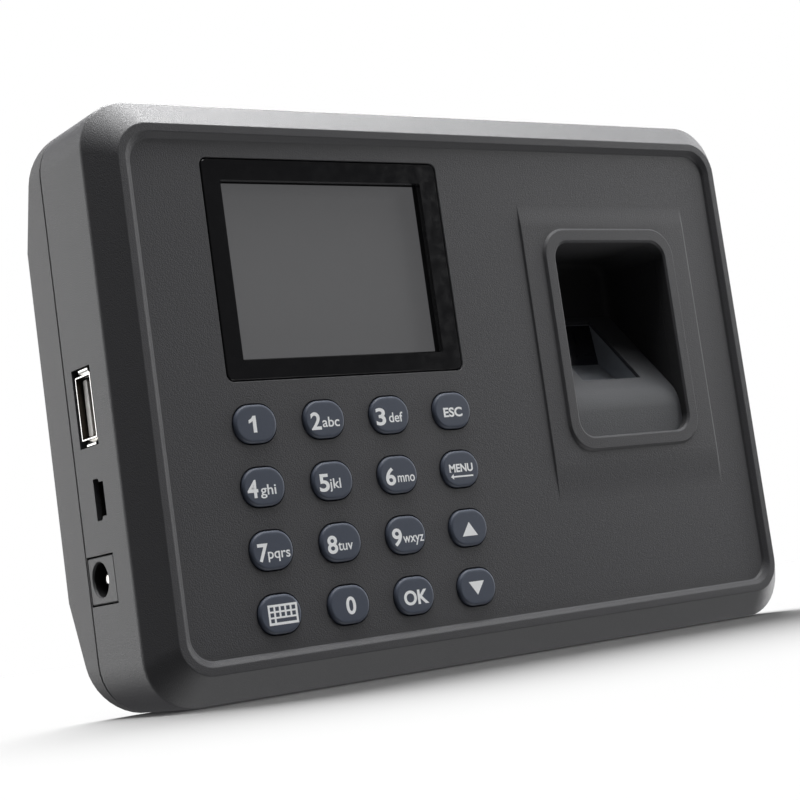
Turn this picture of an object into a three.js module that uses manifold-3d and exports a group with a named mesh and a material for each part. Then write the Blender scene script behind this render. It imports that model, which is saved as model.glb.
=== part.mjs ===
// Fingerprint scanner terminal: a two-shell desk and wall case with a screen, a sixteen-key
// keypad, a deep finger pocket with an optical sensor, and three sockets in the left wall.
// Millimetres. +X is the user's right, +Y runs from the front to the back, +Z is up.
// The origin is the centre of the case's footprint, on the surface that it stands on.
import * as THREE from 'three';
import { mergeVertices } from 'three/addons/utils/BufferGeometryUtils.js';
import Module from 'manifold-3d';

const wasm = await Module();
wasm.setup();

// ---- driving dimensions -------------------------------------------------------------

const GAP = 0.3;                       // clearance between neighbouring pieces
const WALL = 2.4;                      // wall thickness of both shells
const THROUGH = 1;                     // how far a cutting tool runs past a face

const WIDTH = 170;
const HEIGHT = 119.5;
const DEPTH = 35.6;
const CORNER_R = 10.5;

// Distances behind the rim, which is the front-most face.
const BEVEL_DEPTH = 5.4;
const SEAM_DEPTH = 24.5;
const TAPER_DEPTH = 27.8;              // depth of the case at its very top and bottom
const RIM_INSET = 5.2;                 // from the side wall to the rim
const RIM_INSET_Z = 5.7;
const RIM_R = 7;
const RIM_WIDTH = 1.3;
const STEP_WIDTH = 1.9;
const RECESS = 1.2;                    // the panel lies this far behind the rim
const PANEL_R = 5;
const TAPER_HEIGHT = 23.7;             // height of each sloping part of the back
const LIP = { thick: 1.3, reach: 1.6, root: 1.5 };   // the rear cover's lip inside the front one

const SCREEN = { x: -32.4, z: 84.7, width: 57.7, height: 45.1, r: 1.3, thick: 1.4 };
const SCREEN_LEDGE = { width: 52.5, height: 40.2 };
const LCD = { width: 57.4, height: 41.4, thick: 2, front: 5 };
const TRAY = { width: 60.2, height: 44.2, wall: 0.9, depth: 3.6 };
const RIBBON = { width: 18, top: 14, length: 16, step: 0.6, thick: 0.5 };

const KEY = {
  width: 9.6, height: 7.7, r: 3.7, front: 0.45, flange: 1.1, flangeThick: 0.9, stemR: 2, travel: 0.7,
};
const KEY_GRID = { x: -56.7, z: 53.25, stepX: 16.14, stepZ: 12.54, rows: 4, columns: 4 };
const DOME = { r: 3.2, topR: 2.1, height: 1.2 };
const SHEET = { x: -32.8, z: 34.5, width: 62, height: 49.5, thick: 0.8 };

const POCKET = { x: 43, z: 67.45, width: 33, height: 44.5, r: 4.2 };
const RING = { width: 3.3, height: 0.55, r: 7, slope: 0.4 };
const PAD = { width: 50.3, bottom: 31.5, top: 96.5, height: 0.45, footSlope: 9, headSlope: 5 };
const GUIDE_WALL = 1.8;
const LIP_DEPTH = 2;                   // the pocket's front sill behind the rim
const CREST_Z = 54.1;                  // where the sill turns into the ramp
const RAMP_ANGLE = THREE.MathUtils.degToRad(48);
const POCKET_BACK = 22.4;
const SENSOR = { width: 17.8, from: 6.2, to: 28.2, sunk: 0.6, glassThick: 1.2, bodyDepth: 9.2 };

const BOARD = { left: -81.6, right: 14.5, bottom: 18, top: 101, front: 10.9, thick: 1.6 };
const BOARD_REAR = BOARD.front + BOARD.thick;
const PROCESSOR = { x: -31, z: 69, size: 14, thick: 1.4 };
const MEMORY = { x: -11, z: 69, size: 10, thick: 1.2 };
const CELL = { x: -20, z: 38, r: 10, thick: 3.2, holderR: 11.5, seat: 0.9, foot: 25, footHeight: 8 };

const USB_A = { z: 60.75, height: 15.1, depth: 8, length: 16, shell: 0.5 };
const MINI_USB = { z: 42.4, height: 8.2, depth: 4.5, length: 9, shell: 0.5 };
const JACK = {
  z: 26.9, height: 9.2, depth: 11.3, length: 13.5, holeR: 3.4, pinR: 1, holeZ: 27, holeBack: 19.4,
};

const CASE_SCREW = { x: 74, low: 12, high: 107.5, headR: 2.9, headDepth: 1.8, shankR: 1.3, length: 12 };
const BOARD_SCREWS = [[-71.5, 97], [-71.5, 34.8], [9, 97], [9, 22]];
const BOARD_SCREW = { headR: 2.2, headDepth: 1.5, shankR: 1, length: 7 };
const SCREW_SLOT = { depth: 0.8, half: 0.4, reach: 0.62 };   // its reach is a share of the head
const BOSS = { caseR: 4, rearR: 4.9, boardR: 2.6, caseHole: 11, boardHole: 6.5, headRoom: 0.6 };

const SPEAKER = { x: 26, z: 42, r: 14, height: 5.4 };
const SPEAKER_WALL = { r: 15.8, holeR: 14.6, depth: 6.8 };
const GRILLE = { rows: 5, pitch: 4, r: 11, slot: 1.8, cornerR: 0.85 };
const KEYHOLE = { x: 40, z: 78, r: 4.6, slotR: 2.3, slotLength: 8 };

const ARC_STEPS = 5;                   // facets in a quarter turn of a case corner
const KEY_STEPS = 3;                   // facets in a quarter turn of a key's corner

// ---- materials ----------------------------------------------------------------------

function material(color, roughness, metalness) {
  return new THREE.MeshStandardMaterial({ color, roughness, metalness });
}

const charcoal = material(0x45474a, 0.55, 0);
const rearGrey = material(0x6e6f70, 0.6, 0);
const keyGrey = material(0x3b3f47, 0.4, 0);
const black = material(0x0d0e10, 0.15, 0);
const glass = material(0x111418, 0.05, 0);
const lcdGrey = material(0x5a5b5d, 0.35, 0);
const rubber = material(0x2b2b2d, 0.8, 0);
const board = material(0x1e5a34, 0.5, 0);
const chipBlack = material(0x18181a, 0.5, 0);
const steel = material(0xb4b6b8, 0.3, 1);
const ivory = material(0xe4dfd2, 0.5, 0);
const socketBlack = material(0x1a1a1c, 0.5, 0);
const copper = material(0xb87333, 0.5, 0.3);

// ---- geometry helpers ---------------------------------------------------------------

// Turns a distance behind the rim into a Y coordinate.
function behindRim(distance) {
  return distance - DEPTH / 2;
}

function solid(geometry) {
  const bare = geometry.clone();
  bare.deleteAttribute('normal');
  bare.deleteAttribute('uv');
  const merged = mergeVertices(bare, 1e-4);
  const vertProperties = new Float32Array(merged.attributes.position.array);
  const triVerts = new Uint32Array(merged.index.array);
  return new wasm.Manifold(new wasm.Mesh({ numProp: 3, vertProperties, triVerts }));
}

function geometryOf(body) {
  const data = body.getMesh();
  const geometry = new THREE.BufferGeometry();
  geometry.setAttribute('position', new THREE.BufferAttribute(new Float32Array(data.vertProperties), 3));
  geometry.setIndex(new THREE.BufferAttribute(new Uint32Array(data.triVerts), 1));
  geometry.computeVertexNormals();
  return geometry;
}

const terminal = new THREE.Group();

function addPiece(name, body, look) {
  const mesh = new THREE.Mesh(geometryOf(body), look);
  mesh.name = name;
  terminal.add(mesh);
}

function cut(body, ...tools) {
  return tools.reduce((result, tool) => result.subtract(tool), body);
}

function join(body, ...others) {
  return others.reduce((result, other) => result.add(other), body);
}

function roundedRect(width, height, r) {
  const shape = new THREE.Shape();
  const x = width / 2 - r;
  const y = height / 2 - r;
  shape.absarc(x, y, r, 0, Math.PI / 2);
  shape.absarc(-x, y, r, Math.PI / 2, Math.PI);
  shape.absarc(-x, -y, r, Math.PI, 1.5 * Math.PI);
  shape.absarc(x, -y, r, 1.5 * Math.PI, 2 * Math.PI);
  return shape;
}

// A key's outline, made larger by `growth` on every side.
function keyShape(growth) {
  return roundedRect(KEY.width + 2 * growth, KEY.height + 2 * growth, KEY.r + growth);
}

// A prism between two depths, its outline given in X and Z around (x, z).
function prism(shape, x, z, front, back, steps = ARC_STEPS) {
  const options = { depth: back - front, bevelEnabled: false, curveSegments: steps };
  const geometry = new THREE.ExtrudeGeometry(shape, options);
  geometry.rotateX(Math.PI / 2);
  geometry.translate(x, behindRim(back), z);
  return solid(geometry);
}

// A tapering body through rounded rectangles, each { width, height, r, depth, z }.
function taper(sections, x, z) {
  const count = 4 * (ARC_STEPS + 1);
  const positions = [];
  const indices = [];
  for (const section of sections) {
    const outline = cornerPoints(section.width, section.height, section.r);
    for (const point of outline) {
      positions.push(x + point.x, behindRim(section.depth), z + point.y);
    }
  }
  for (let s = 0; s + 1 < sections.length; s += 1) {
    for (let i = 0; i < count; i += 1) {
      const a = s * count + i;
      const b = s * count + (i + 1) % count;
      indices.push(a, b, b + count, a, b + count, a + count);
    }
  }
  const last = (sections.length - 1) * count;
  for (let i = 1; i + 1 < count; i += 1) {
    indices.push(0, i + 1, i);
    indices.push(last, last + i, last + i + 1);
  }
  const geometry = new THREE.BufferGeometry();
  geometry.setAttribute('position', new THREE.Float32BufferAttribute(positions, 3));
  geometry.setIndex(indices.reverse());
  return solid(geometry);
}

function cornerPoints(width, height, r) {
  const points = [];
  for (let corner = 0; corner < 4; corner += 1) {
    const cx = (corner === 0 || corner === 3 ? 1 : -1) * (width / 2 - r);
    const cy = (corner < 2 ? 1 : -1) * (height / 2 - r);
    for (let i = 0; i <= ARC_STEPS; i += 1) {
      const angle = (corner + i / ARC_STEPS) * Math.PI / 2;
      points.push(new THREE.Vector2(cx + r * Math.cos(angle), cy + r * Math.sin(angle)));
    }
  }
  return points;
}

function box(x0, x1, front, back, z0, z1) {
  const geometry = new THREE.BoxGeometry(x1 - x0, back - front, z1 - z0);
  geometry.translate((x0 + x1) / 2, behindRim((front + back) / 2), (z0 + z1) / 2);
  return solid(geometry);
}

// A round bar along Y between two depths.
function post(x, z, r, front, back, steps = 12) {
  const geometry = new THREE.CylinderGeometry(r, r, back - front, steps);
  geometry.translate(x, behindRim((front + back) / 2), z);
  return solid(geometry);
}

// A round bar along X.
function barX(x0, x1, depth, z, r, steps = 16) {
  const geometry = new THREE.CylinderGeometry(r, r, x1 - x0, steps);
  geometry.rotateZ(Math.PI / 2);
  geometry.translate((x0 + x1) / 2, behindRim(depth), z);
  return solid(geometry);
}

// A profile of [depth, z] points carried along X.
function profileX(points, x0, x1) {
  const shape = new THREE.Shape(points.map(([depth, z]) => new THREE.Vector2(behindRim(depth), z)));
  const geometry = new THREE.ExtrudeGeometry(shape, { depth: x1 - x0, bevelEnabled: false });
  const turn = new THREE.Matrix4().makeBasis(
    new THREE.Vector3(0, 1, 0),
    new THREE.Vector3(0, 0, 1),
    new THREE.Vector3(1, 0, 0),
  );
  geometry.applyMatrix4(turn);
  geometry.translate(x0, 0, 0);
  return solid(geometry);
}

// A lathe about an axis along Y, its profile given as [radius, depth] points.
function lathe(profile, x, z, steps = 16) {
  const points = profile.map(([r, depth]) => new THREE.Vector2(r, behindRim(depth)));
  const geometry = new THREE.LatheGeometry(points, steps);
  geometry.translate(x, 0, z);
  return solid(geometry);
}

// ---- shared layout ------------------------------------------------------------------

const MID_Z = HEIGHT / 2;
const SIDE_X = -WIDTH / 2;
const PANEL_BACK = RECESS + WALL;

function keyCentres() {
  const centres = [];
  for (let row = 0; row < KEY_GRID.rows; row += 1) {
    for (let column = 0; column < KEY_GRID.columns; column += 1) {
      centres.push([KEY_GRID.x + column * KEY_GRID.stepX, KEY_GRID.z - row * KEY_GRID.stepZ]);
    }
  }
  return centres;
}

function caseScrewPlaces() {
  const { x, low, high } = CASE_SCREW;
  return [[-x, low], [x, low], [-x, high], [x, high]];
}

// A point on or under the ramp: along is up the slope from its crest, under is below it.
function rampPoint(along, under) {
  const depth = LIP_DEPTH + along * Math.cos(RAMP_ANGLE) + under * Math.sin(RAMP_ANGLE);
  const z = CREST_Z + along * Math.sin(RAMP_ANGLE) - under * Math.cos(RAMP_ANGLE);
  return [depth, z];
}

// A block square to the ramp.
function rampBlock(x0, x1, from, to, top, bottom) {
  return profileX([
    rampPoint(from, bottom),
    rampPoint(to, bottom),
    rampPoint(to, top),
    rampPoint(from, top),
  ], x0, x1);
}

// ---- front cover --------------------------------------------------------------------

function outerFront() {
  const full = { width: WIDTH, height: HEIGHT, r: CORNER_R };
  const rim = { width: WIDTH - 2 * RIM_INSET, height: HEIGHT - 2 * RIM_INSET_Z, r: RIM_R };
  return taper([
    { ...rim, depth: 0 },
    { ...full, depth: BEVEL_DEPTH },
    { ...full, depth: SEAM_DEPTH },
  ], 0, MID_Z);
}

function panelRecess() {
  const edge = RIM_INSET + RIM_WIDTH;
  const edgeZ = RIM_INSET_Z + RIM_WIDTH;
  const mouth = { width: WIDTH - 2 * edge, height: HEIGHT - 2 * edgeZ, r: RIM_R - RIM_WIDTH };
  const floor = {
    width: mouth.width - 2 * STEP_WIDTH,
    height: mouth.height - 2 * STEP_WIDTH,
    r: PANEL_R,
  };
  const slope = STEP_WIDTH / RECESS;
  const above = {
    width: mouth.width + 2 * slope * THROUGH,
    height: mouth.height + 2 * slope * THROUGH,
    r: mouth.r + slope * THROUGH,
  };
  return taper([{ ...above, depth: -THROUGH }, { ...floor, depth: RECESS }], 0, MID_Z);
}

function frontHollow() {
  const inner = { width: WIDTH - 2 * WALL, height: HEIGHT - 2 * WALL, r: CORNER_R - WALL };
  const inset = RIM_INSET + WALL;
  const insetZ = RIM_INSET_Z + WALL;
  const floor = { width: WIDTH - 2 * inset, height: HEIGHT - 2 * insetZ, r: RIM_R - 1 };
  return taper([
    { ...floor, depth: PANEL_BACK },
    { ...inner, depth: BEVEL_DEPTH + WALL },
    { ...inner, depth: SEAM_DEPTH + THROUGH },
  ], 0, MID_Z);
}

function fingerPad() {
  const bottomSlope = PAD.bottom + PAD.footSlope;
  const topSlope = PAD.top - PAD.headSlope;
  const face = RECESS - PAD.height;
  const x0 = POCKET.x - PAD.width / 2;
  return profileX([
    [RECESS + THROUGH, PAD.bottom],
    [RECESS, PAD.bottom],
    [face, bottomSlope],
    [face, topSlope],
    [RECESS, PAD.top],
    [RECESS + THROUGH, PAD.top],
  ].reverse(), x0, x0 + PAD.width);
}

function fingerRing() {
  const base = {
    width: POCKET.width + 2 * RING.width,
    height: POCKET.height + 2 * RING.width,
    r: RING.r,
  };
  const top = RECESS - PAD.height - RING.height;
  const face = {
    width: base.width - 2 * RING.slope,
    height: base.height - 2 * RING.slope,
    r: RING.r - RING.slope,
  };
  return taper([{ ...face, depth: top }, { ...base, depth: RECESS + THROUGH }], POCKET.x, POCKET.z);
}

function socketHoles() {
  const x0 = SIDE_X - THROUGH;
  const x1 = SIDE_X + WALL + THROUGH;
  const usb = box(x0, x1, BOARD_REAR + GAP, BOARD_REAR + 2 * GAP + USB_A.depth + GAP,
    USB_A.z - USB_A.height / 2 - GAP, USB_A.z + USB_A.height / 2 + GAP);
  const mini = box(x0, x1, BOARD_REAR + GAP, BOARD_REAR + 2 * GAP + MINI_USB.depth + GAP,
    MINI_USB.z - MINI_USB.height / 2 - GAP, MINI_USB.z + MINI_USB.height / 2 + GAP);
  const jack = box(x0, x1, BOARD_REAR + GAP - 0.2, SEAM_DEPTH + THROUGH,
    JACK.z - JACK.height / 2 - GAP, JACK.z + JACK.height / 2 + GAP);
  return [usb, mini, jack];
}

function frontCover() {
  let cover = cut(outerFront(), panelRecess(), frontHollow());
  const clip = outerFront();
  for (const [x, z] of caseScrewPlaces()) {
    const boss = post(x, z, BOSS.caseR, PANEL_BACK - 1, SEAM_DEPTH - 0.6).intersect(clip);
    cover = join(cover, boss);
  }
  for (const [x, z] of BOARD_SCREWS) {
    cover = join(cover, post(x, z, BOSS.boardR, PANEL_BACK - 0.5, BOARD.front - GAP));
  }
  cover = join(cover, fingerPad(), fingerRing());
  const tools = [];
  for (const [x, z] of caseScrewPlaces()) {
    tools.push(post(x, z, CASE_SCREW.shankR + GAP, SEAM_DEPTH - BOSS.caseHole,
      SEAM_DEPTH + THROUGH, 10));
  }
  for (const [x, z] of BOARD_SCREWS) {
    tools.push(post(x, z, BOARD_SCREW.shankR + GAP, BOARD.front - BOSS.boardHole, BOARD.front, 8));
  }
  tools.push(prism(roundedRect(SCREEN.width + 2 * GAP, SCREEN.height + 2 * GAP, SCREEN.r + GAP),
    SCREEN.x, SCREEN.z, -THROUGH, RECESS + SCREEN.thick + GAP));
  tools.push(prism(roundedRect(SCREEN_LEDGE.width, SCREEN_LEDGE.height, 1),
    SCREEN.x, SCREEN.z, 0, PANEL_BACK + THROUGH));
  for (const [x, z] of keyCentres()) {
    tools.push(prism(keyShape(GAP), x, z, -THROUGH, PANEL_BACK + THROUGH, KEY_STEPS));
  }
  tools.push(prism(roundedRect(POCKET.width, POCKET.height, POCKET.r),
    POCKET.x, POCKET.z, -THROUGH, PANEL_BACK + THROUGH));
  tools.push(...socketHoles());
  addPiece('front_cover', cut(cover, ...tools), charcoal);
}

// ---- rear cover ---------------------------------------------------------------------

// The back of the case, narrowed by `inset` on every side.
function rearBody(inset, front) {
  const outline = roundedRect(WIDTH - 2 * inset, HEIGHT - 2 * inset, CORNER_R - inset);
  const full = prism(outline, 0, MID_Z, front, DEPTH + THROUGH);
  const back = DEPTH - inset;
  const shoulder = TAPER_DEPTH - inset;
  const profile = [
    [front, -THROUGH],
    [shoulder, -THROUGH],
    [shoulder, 0],
    [back, TAPER_HEIGHT],
    [back, HEIGHT - TAPER_HEIGHT],
    [shoulder, HEIGHT],
    [shoulder, HEIGHT + THROUGH],
    [front, HEIGHT + THROUGH],
  ];
  return full.intersect(profileX(profile, -WIDTH, WIDTH));
}

function keyholeTool(x) {
  const round = post(x, KEYHOLE.z, KEYHOLE.r, DEPTH - WALL - THROUGH, DEPTH + THROUGH, 16);
  const slotTop = KEYHOLE.z + KEYHOLE.slotLength;
  const slot = box(x - KEYHOLE.slotR, x + KEYHOLE.slotR, DEPTH - WALL - THROUGH, DEPTH + THROUGH,
    KEYHOLE.z, slotTop);
  const end = post(x, slotTop, KEYHOLE.slotR, DEPTH - WALL - THROUGH, DEPTH + THROUGH);
  return join(round, slot, end);
}

function grilleTools() {
  const tools = [];
  for (let row = 0; row < GRILLE.rows; row += 1) {
    const offset = (row - (GRILLE.rows - 1) / 2) * GRILLE.pitch;
    const half = Math.sqrt(GRILLE.r * GRILLE.r - offset * offset);
    const slot = roundedRect(2 * half, GRILLE.slot, GRILLE.cornerR);
    tools.push(prism(slot, SPEAKER.x, SPEAKER.z + offset, DEPTH - WALL - THROUGH,
      DEPTH + THROUGH, 2));
  }
  return tools;
}

function rearCover() {
  const start = SEAM_DEPTH + GAP;
  let cover = cut(rearBody(0, start), rearBody(WALL, start - THROUGH));
  const lipOut = WALL + GAP;
  const lipIn = lipOut + LIP.thick;
  const root = start + LIP.root;
  const lip = cut(
    prism(roundedRect(WIDTH - 2 * lipOut, HEIGHT - 2 * lipOut, CORNER_R - lipOut), 0, MID_Z,
      SEAM_DEPTH - LIP.reach, root),
    prism(roundedRect(WIDTH - 2 * lipIn, HEIGHT - 2 * lipIn, CORNER_R - lipIn), 0, MID_Z,
      SEAM_DEPTH - LIP.reach - THROUGH, root + THROUGH),
  );
  const bridge = cut(
    prism(roundedRect(WIDTH - 2, HEIGHT - 2, CORNER_R - 1), 0, MID_Z, start, root),
    prism(roundedRect(WIDTH - 2 * lipIn, HEIGHT - 2 * lipIn, CORNER_R - lipIn), 0, MID_Z,
      start - THROUGH, root + THROUGH),
  );
  cover = join(cover, lip, bridge);
  for (const [x, z] of caseScrewPlaces()) {
    cover = join(cover, post(x, z, BOSS.rearR, start, DEPTH).intersect(rearBody(0, start)));
  }
  const { r, holeR, depth } = SPEAKER_WALL;
  cover = join(cover, cut(post(SPEAKER.x, SPEAKER.z, r, DEPTH - depth, DEPTH - 1, 20),
    post(SPEAKER.x, SPEAKER.z, holeR, DEPTH - 8, DEPTH - WALL, 20)));
  const tools = [keyholeTool(-KEYHOLE.x), keyholeTool(KEYHOLE.x), ...grilleTools()];
  for (const [x, z] of caseScrewPlaces()) {
    tools.push(post(x, z, CASE_SCREW.shankR + GAP, start - THROUGH, DEPTH, 10));
    tools.push(post(x, z, CASE_SCREW.headR + BOSS.headRoom, start + 1.9, DEPTH + THROUGH));
  }
  const jackRoom = box(SIDE_X + WALL, SIDE_X + JACK.length + 2, SEAM_DEPTH - 3, start + GAP,
    JACK.z - JACK.height / 2 - 1, JACK.z + JACK.height / 2 + 1);
  tools.push(jackRoom);
  addPiece('rear_cover', cut(cover, ...tools), rearGrey);
}

// ---- screen -------------------------------------------------------------------------

function screen() {
  const plate = prism(roundedRect(SCREEN.width, SCREEN.height, SCREEN.r), SCREEN.x, SCREEN.z,
    RECESS, RECESS + SCREEN.thick);
  addPiece('screen_window', plate, black);
  const { width, height, thick, front } = LCD;
  const panel = box(SCREEN.x - width / 2, SCREEN.x + width / 2, front, front + thick,
    SCREEN.z - height / 2, SCREEN.z + height / 2);
  addPiece('lcd_panel', panel, lcdGrey);
  const trayFront = PANEL_BACK + GAP;
  const half = TRAY.width / 2;
  const halfZ = TRAY.height / 2;
  const tray = cut(
    box(SCREEN.x - half, SCREEN.x + half, trayFront, front + TRAY.depth,
      SCREEN.z - halfZ, SCREEN.z + halfZ),
    box(SCREEN.x - half + TRAY.wall, SCREEN.x + half - TRAY.wall, trayFront - THROUGH,
      front + thick + GAP, SCREEN.z - halfZ + TRAY.wall, SCREEN.z + halfZ - TRAY.wall),
  );
  addPiece('lcd_frame', tray, steel);
  const top = SCREEN.z - halfZ + RIBBON.top;
  const bottom = top - RIBBON.length;
  const ribbonFront = front + TRAY.depth + GAP;
  addPiece('lcd_ribbon', profileX([
    [ribbonFront, bottom],
    [BOARD.front - GAP, bottom],
    [BOARD.front - GAP, bottom + RIBBON.step],
    [ribbonFront + RIBBON.thick, bottom + RIBBON.step],
    [ribbonFront + RIBBON.thick, top],
    [ribbonFront, top],
  ], SCREEN.x - RIBBON.width / 2, SCREEN.x + RIBBON.width / 2), copper);
}

// ---- keypad -------------------------------------------------------------------------

const FLANGE_FRONT = PANEL_BACK + GAP;
const SHEET_FRONT = BOARD.front - GAP - SHEET.thick;

function keyBody(x, z) {
  const flangeBack = FLANGE_FRONT + KEY.flangeThick;
  const cap = prism(keyShape(0), x, z, KEY.front, flangeBack - 0.2, KEY_STEPS);
  const flange = prism(keyShape(KEY.flange), x, z, FLANGE_FRONT, flangeBack, KEY_STEPS);
  const stemEnd = SHEET_FRONT - DOME.height - KEY.travel - GAP;
  const stem = post(x, z, KEY.stemR, FLANGE_FRONT, stemEnd, 8);
  return join(cap, flange, stem);
}

function keypad() {
  const names = [
    'key_1', 'key_2', 'key_3', 'key_escape',
    'key_4', 'key_5', 'key_6', 'key_menu',
    'key_7', 'key_8', 'key_9', 'key_up',
    'key_input', 'key_0', 'key_ok', 'key_down',
  ];
  keyCentres().forEach(([x, z], i) => addPiece(names[i], keyBody(x, z), keyGrey));
  let sheet = box(SHEET.x - SHEET.width / 2, SHEET.x + SHEET.width / 2, SHEET_FRONT,
    SHEET_FRONT + SHEET.thick, SHEET.z - SHEET.height / 2, SHEET.z + SHEET.height / 2);
  for (const [x, z] of keyCentres()) {
    const top = SHEET_FRONT - DOME.height;
    const profile = [[0, top], [0, SHEET_FRONT + 0.2], [DOME.r, SHEET_FRONT + 0.2],
      [DOME.r, SHEET_FRONT], [DOME.topR, top], [0, top]];
    sheet = join(sheet, lathe(profile.reverse(), x, z, 8));
  }
  addPiece('keypad_sheet', sheet, rubber);
}

// ---- finger pocket and sensor -------------------------------------------------------

function fingerGuide() {
  const left = POCKET.x - POCKET.width / 2;
  const right = POCKET.x + POCKET.width / 2;
  const bottom = POCKET.z - POCKET.height / 2;
  const top = POCKET.z + POCKET.height / 2;
  const front = PANEL_BACK + GAP;
  const rampEnd = (POCKET_BACK - LIP_DEPTH) / Math.cos(RAMP_ANGLE);
  const turn = rampPoint(rampEnd, 0);
  const under = rampPoint(2, 2);
  const underEnd = rampPoint(rampEnd + 0.9, 2);
  const wall = GUIDE_WALL;
  const floor = profileX([
    [front, bottom + GAP],
    [front, CREST_Z - 0.5],
    [front - 0.1, CREST_Z],
    rampPoint(3, 0),
    turn,
    [POCKET_BACK, top],
    [front, top],
    [front, top + wall],
    [POCKET_BACK + wall, top + wall],
    underEnd,
    under,
    [front + 2, CREST_Z - 4],
    [front + 2, bottom - wall],
    [front, bottom - wall],
  ], left - wall, right + wall);
  const cheekProfile = [
    [front, bottom - wall],
    [front, top + wall],
    [POCKET_BACK + wall, top + wall],
    underEnd,
    [front + 2, CREST_Z - 6],
    [front + 2, bottom - wall],
  ];
  const cheeks = join(
    profileX(cheekProfile, left - wall, left),
    profileX(cheekProfile, right, right + wall),
  );
  const mouth = prism(roundedRect(POCKET.width - 2 * GAP, POCKET.height - 2 * GAP, POCKET.r - GAP),
    POCKET.x, POCKET.z, 0, front + 4);
  const sill = profileX([
    [LIP_DEPTH, bottom],
    [LIP_DEPTH, CREST_Z - 1.6],
    [LIP_DEPTH + 0.45, CREST_Z - 0.4],
    rampPoint(1.6, 0),
    rampPoint(4, 0),
    [front + 2, CREST_Z - 2],
    [front + 2, bottom],
  ], left + GAP, right - GAP).intersect(mouth);
  const window = rampBlock(POCKET.x - SENSOR.width / 2, POCKET.x + SENSOR.width / 2,
    SENSOR.from, SENSOR.to, -4, 6);
  addPiece('finger_guide', cut(join(floor, cheeks, sill), window), charcoal);
}

function sensor() {
  const half = SENSOR.width / 2;
  const glassTop = SENSOR.sunk;
  const glassEnd = glassTop + SENSOR.glassThick;
  addPiece('sensor_glass', rampBlock(POCKET.x - half + GAP, POCKET.x + half - GAP,
    SENSOR.from + GAP, SENSOR.to - GAP, glassTop, glassEnd), glass);
  const top = Math.max(glassEnd, 2) + GAP;
  const block = rampBlock(POCKET.x - half - 1.5, POCKET.x + half + 1.5,
    SENSOR.from - 1.5, SENSOR.to + 0.4, top, top + SENSOR.bodyDepth);
  const chamber = profileX([
    rampPoint(SENSOR.from + 0.8, top - THROUGH),
    rampPoint(SENSOR.from + 0.8, 5),
    rampPoint(19.7, 6.6),
    rampPoint(SENSOR.to - 1.4, top),
    rampPoint(SENSOR.to - 1.4, top - THROUGH),
  ].reverse(), POCKET.x - half + 0.5, POCKET.x + half - 0.5);
  addPiece('sensor_body', cut(block, chamber), chipBlack);
  const boardTop = top + SENSOR.bodyDepth + GAP;
  addPiece('sensor_board', rampBlock(POCKET.x - 13, POCKET.x + 13, SENSOR.from - 3,
    SENSOR.to - 2, boardTop, boardTop + 1.2), board);
}

// ---- boards and what they carry -----------------------------------------------------

function chip({ x, z, size, thick }, front) {
  return box(x - size / 2, x + size / 2, front, front + thick, z - size / 2, z + size / 2);
}

function mainBoard() {
  let body = box(BOARD.left, BOARD.right, BOARD.front, BOARD_REAR, BOARD.bottom, BOARD.top);
  for (const [x, z] of BOARD_SCREWS) {
    body = cut(body, post(x, z, BOARD_SCREW.shankR + GAP, BOARD.front - THROUGH,
      BOARD_REAR + THROUGH, 8));
  }
  addPiece('main_board', body, board);
  const rear = BOARD_REAR + GAP;
  addPiece('processor_chip', chip(PROCESSOR, rear), chipBlack);
  addPiece('memory_chip', chip(MEMORY, rear), chipBlack);
  const { x, z, r, holderR, seat, foot, footHeight } = CELL;
  const holder = cut(
    join(
      post(x, z, holderR, rear, rear + 3.4, 20),
      box(x - foot / 2, x + foot / 2, rear, rear + 1.2, z - footHeight / 2, z + footHeight / 2),
    ),
    post(x, z, r + 0.4, rear + seat, rear + 5, 20),
    box(x - 3, x + 3, rear + seat, rear + 5, z - 14, z),
  );
  addPiece('cell_holder', holder, chipBlack);
  const cellFront = rear + seat + GAP;
  addPiece('clock_cell', post(x, z, r, cellFront, cellFront + CELL.thick, 20), steel);
}

function sockets() {
  const face = SIDE_X + 0.4;
  const rear = BOARD_REAR + GAP + GAP;
  const shell = (spec) => {
    const { z, height, depth, length, shell: wall } = spec;
    return cut(
      box(face, face + length, rear, rear + depth - GAP, z - height / 2, z + height / 2),
      box(face - THROUGH, face + length - 2.5, rear + wall, rear + depth - GAP - wall,
        z - height / 2 + wall, z + height / 2 - wall),
    );
  };
  addPiece('usb_a_shell', shell(USB_A), steel);
  addPiece('usb_a_tongue', box(face + 1, face + USB_A.length - 2.8, rear + 4.4, rear + 6.4,
    USB_A.z - 5.7, USB_A.z + 5.7), ivory);
  addPiece('mini_usb_shell', shell(MINI_USB), steel);
  addPiece('mini_usb_tongue', box(face + 1, face + MINI_USB.length - 2.8, rear + 1.5, rear + 2.7,
    MINI_USB.z - 2.6, MINI_USB.z + 2.6), socketBlack);
  const jackBack = SEAM_DEPTH - GAP;
  const jackBody = cut(
    box(SIDE_X + 0.1, SIDE_X + JACK.length, BOARD_REAR + GAP, jackBack,
      JACK.z - JACK.height / 2, JACK.z + JACK.height / 2),
    barX(SIDE_X - THROUGH, SIDE_X + 9.5, JACK.holeBack, JACK.holeZ, JACK.holeR, 20),
    barX(SIDE_X - THROUGH, SIDE_X + 11.5, JACK.holeBack, JACK.holeZ, JACK.pinR + GAP, 10),
  );
  addPiece('dc_jack_body', jackBody, charcoal);
  addPiece('dc_jack_pin', barX(SIDE_X + 1.6, SIDE_X + 11.2, JACK.holeBack, JACK.holeZ, JACK.pinR, 10),
    steel);
}

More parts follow.
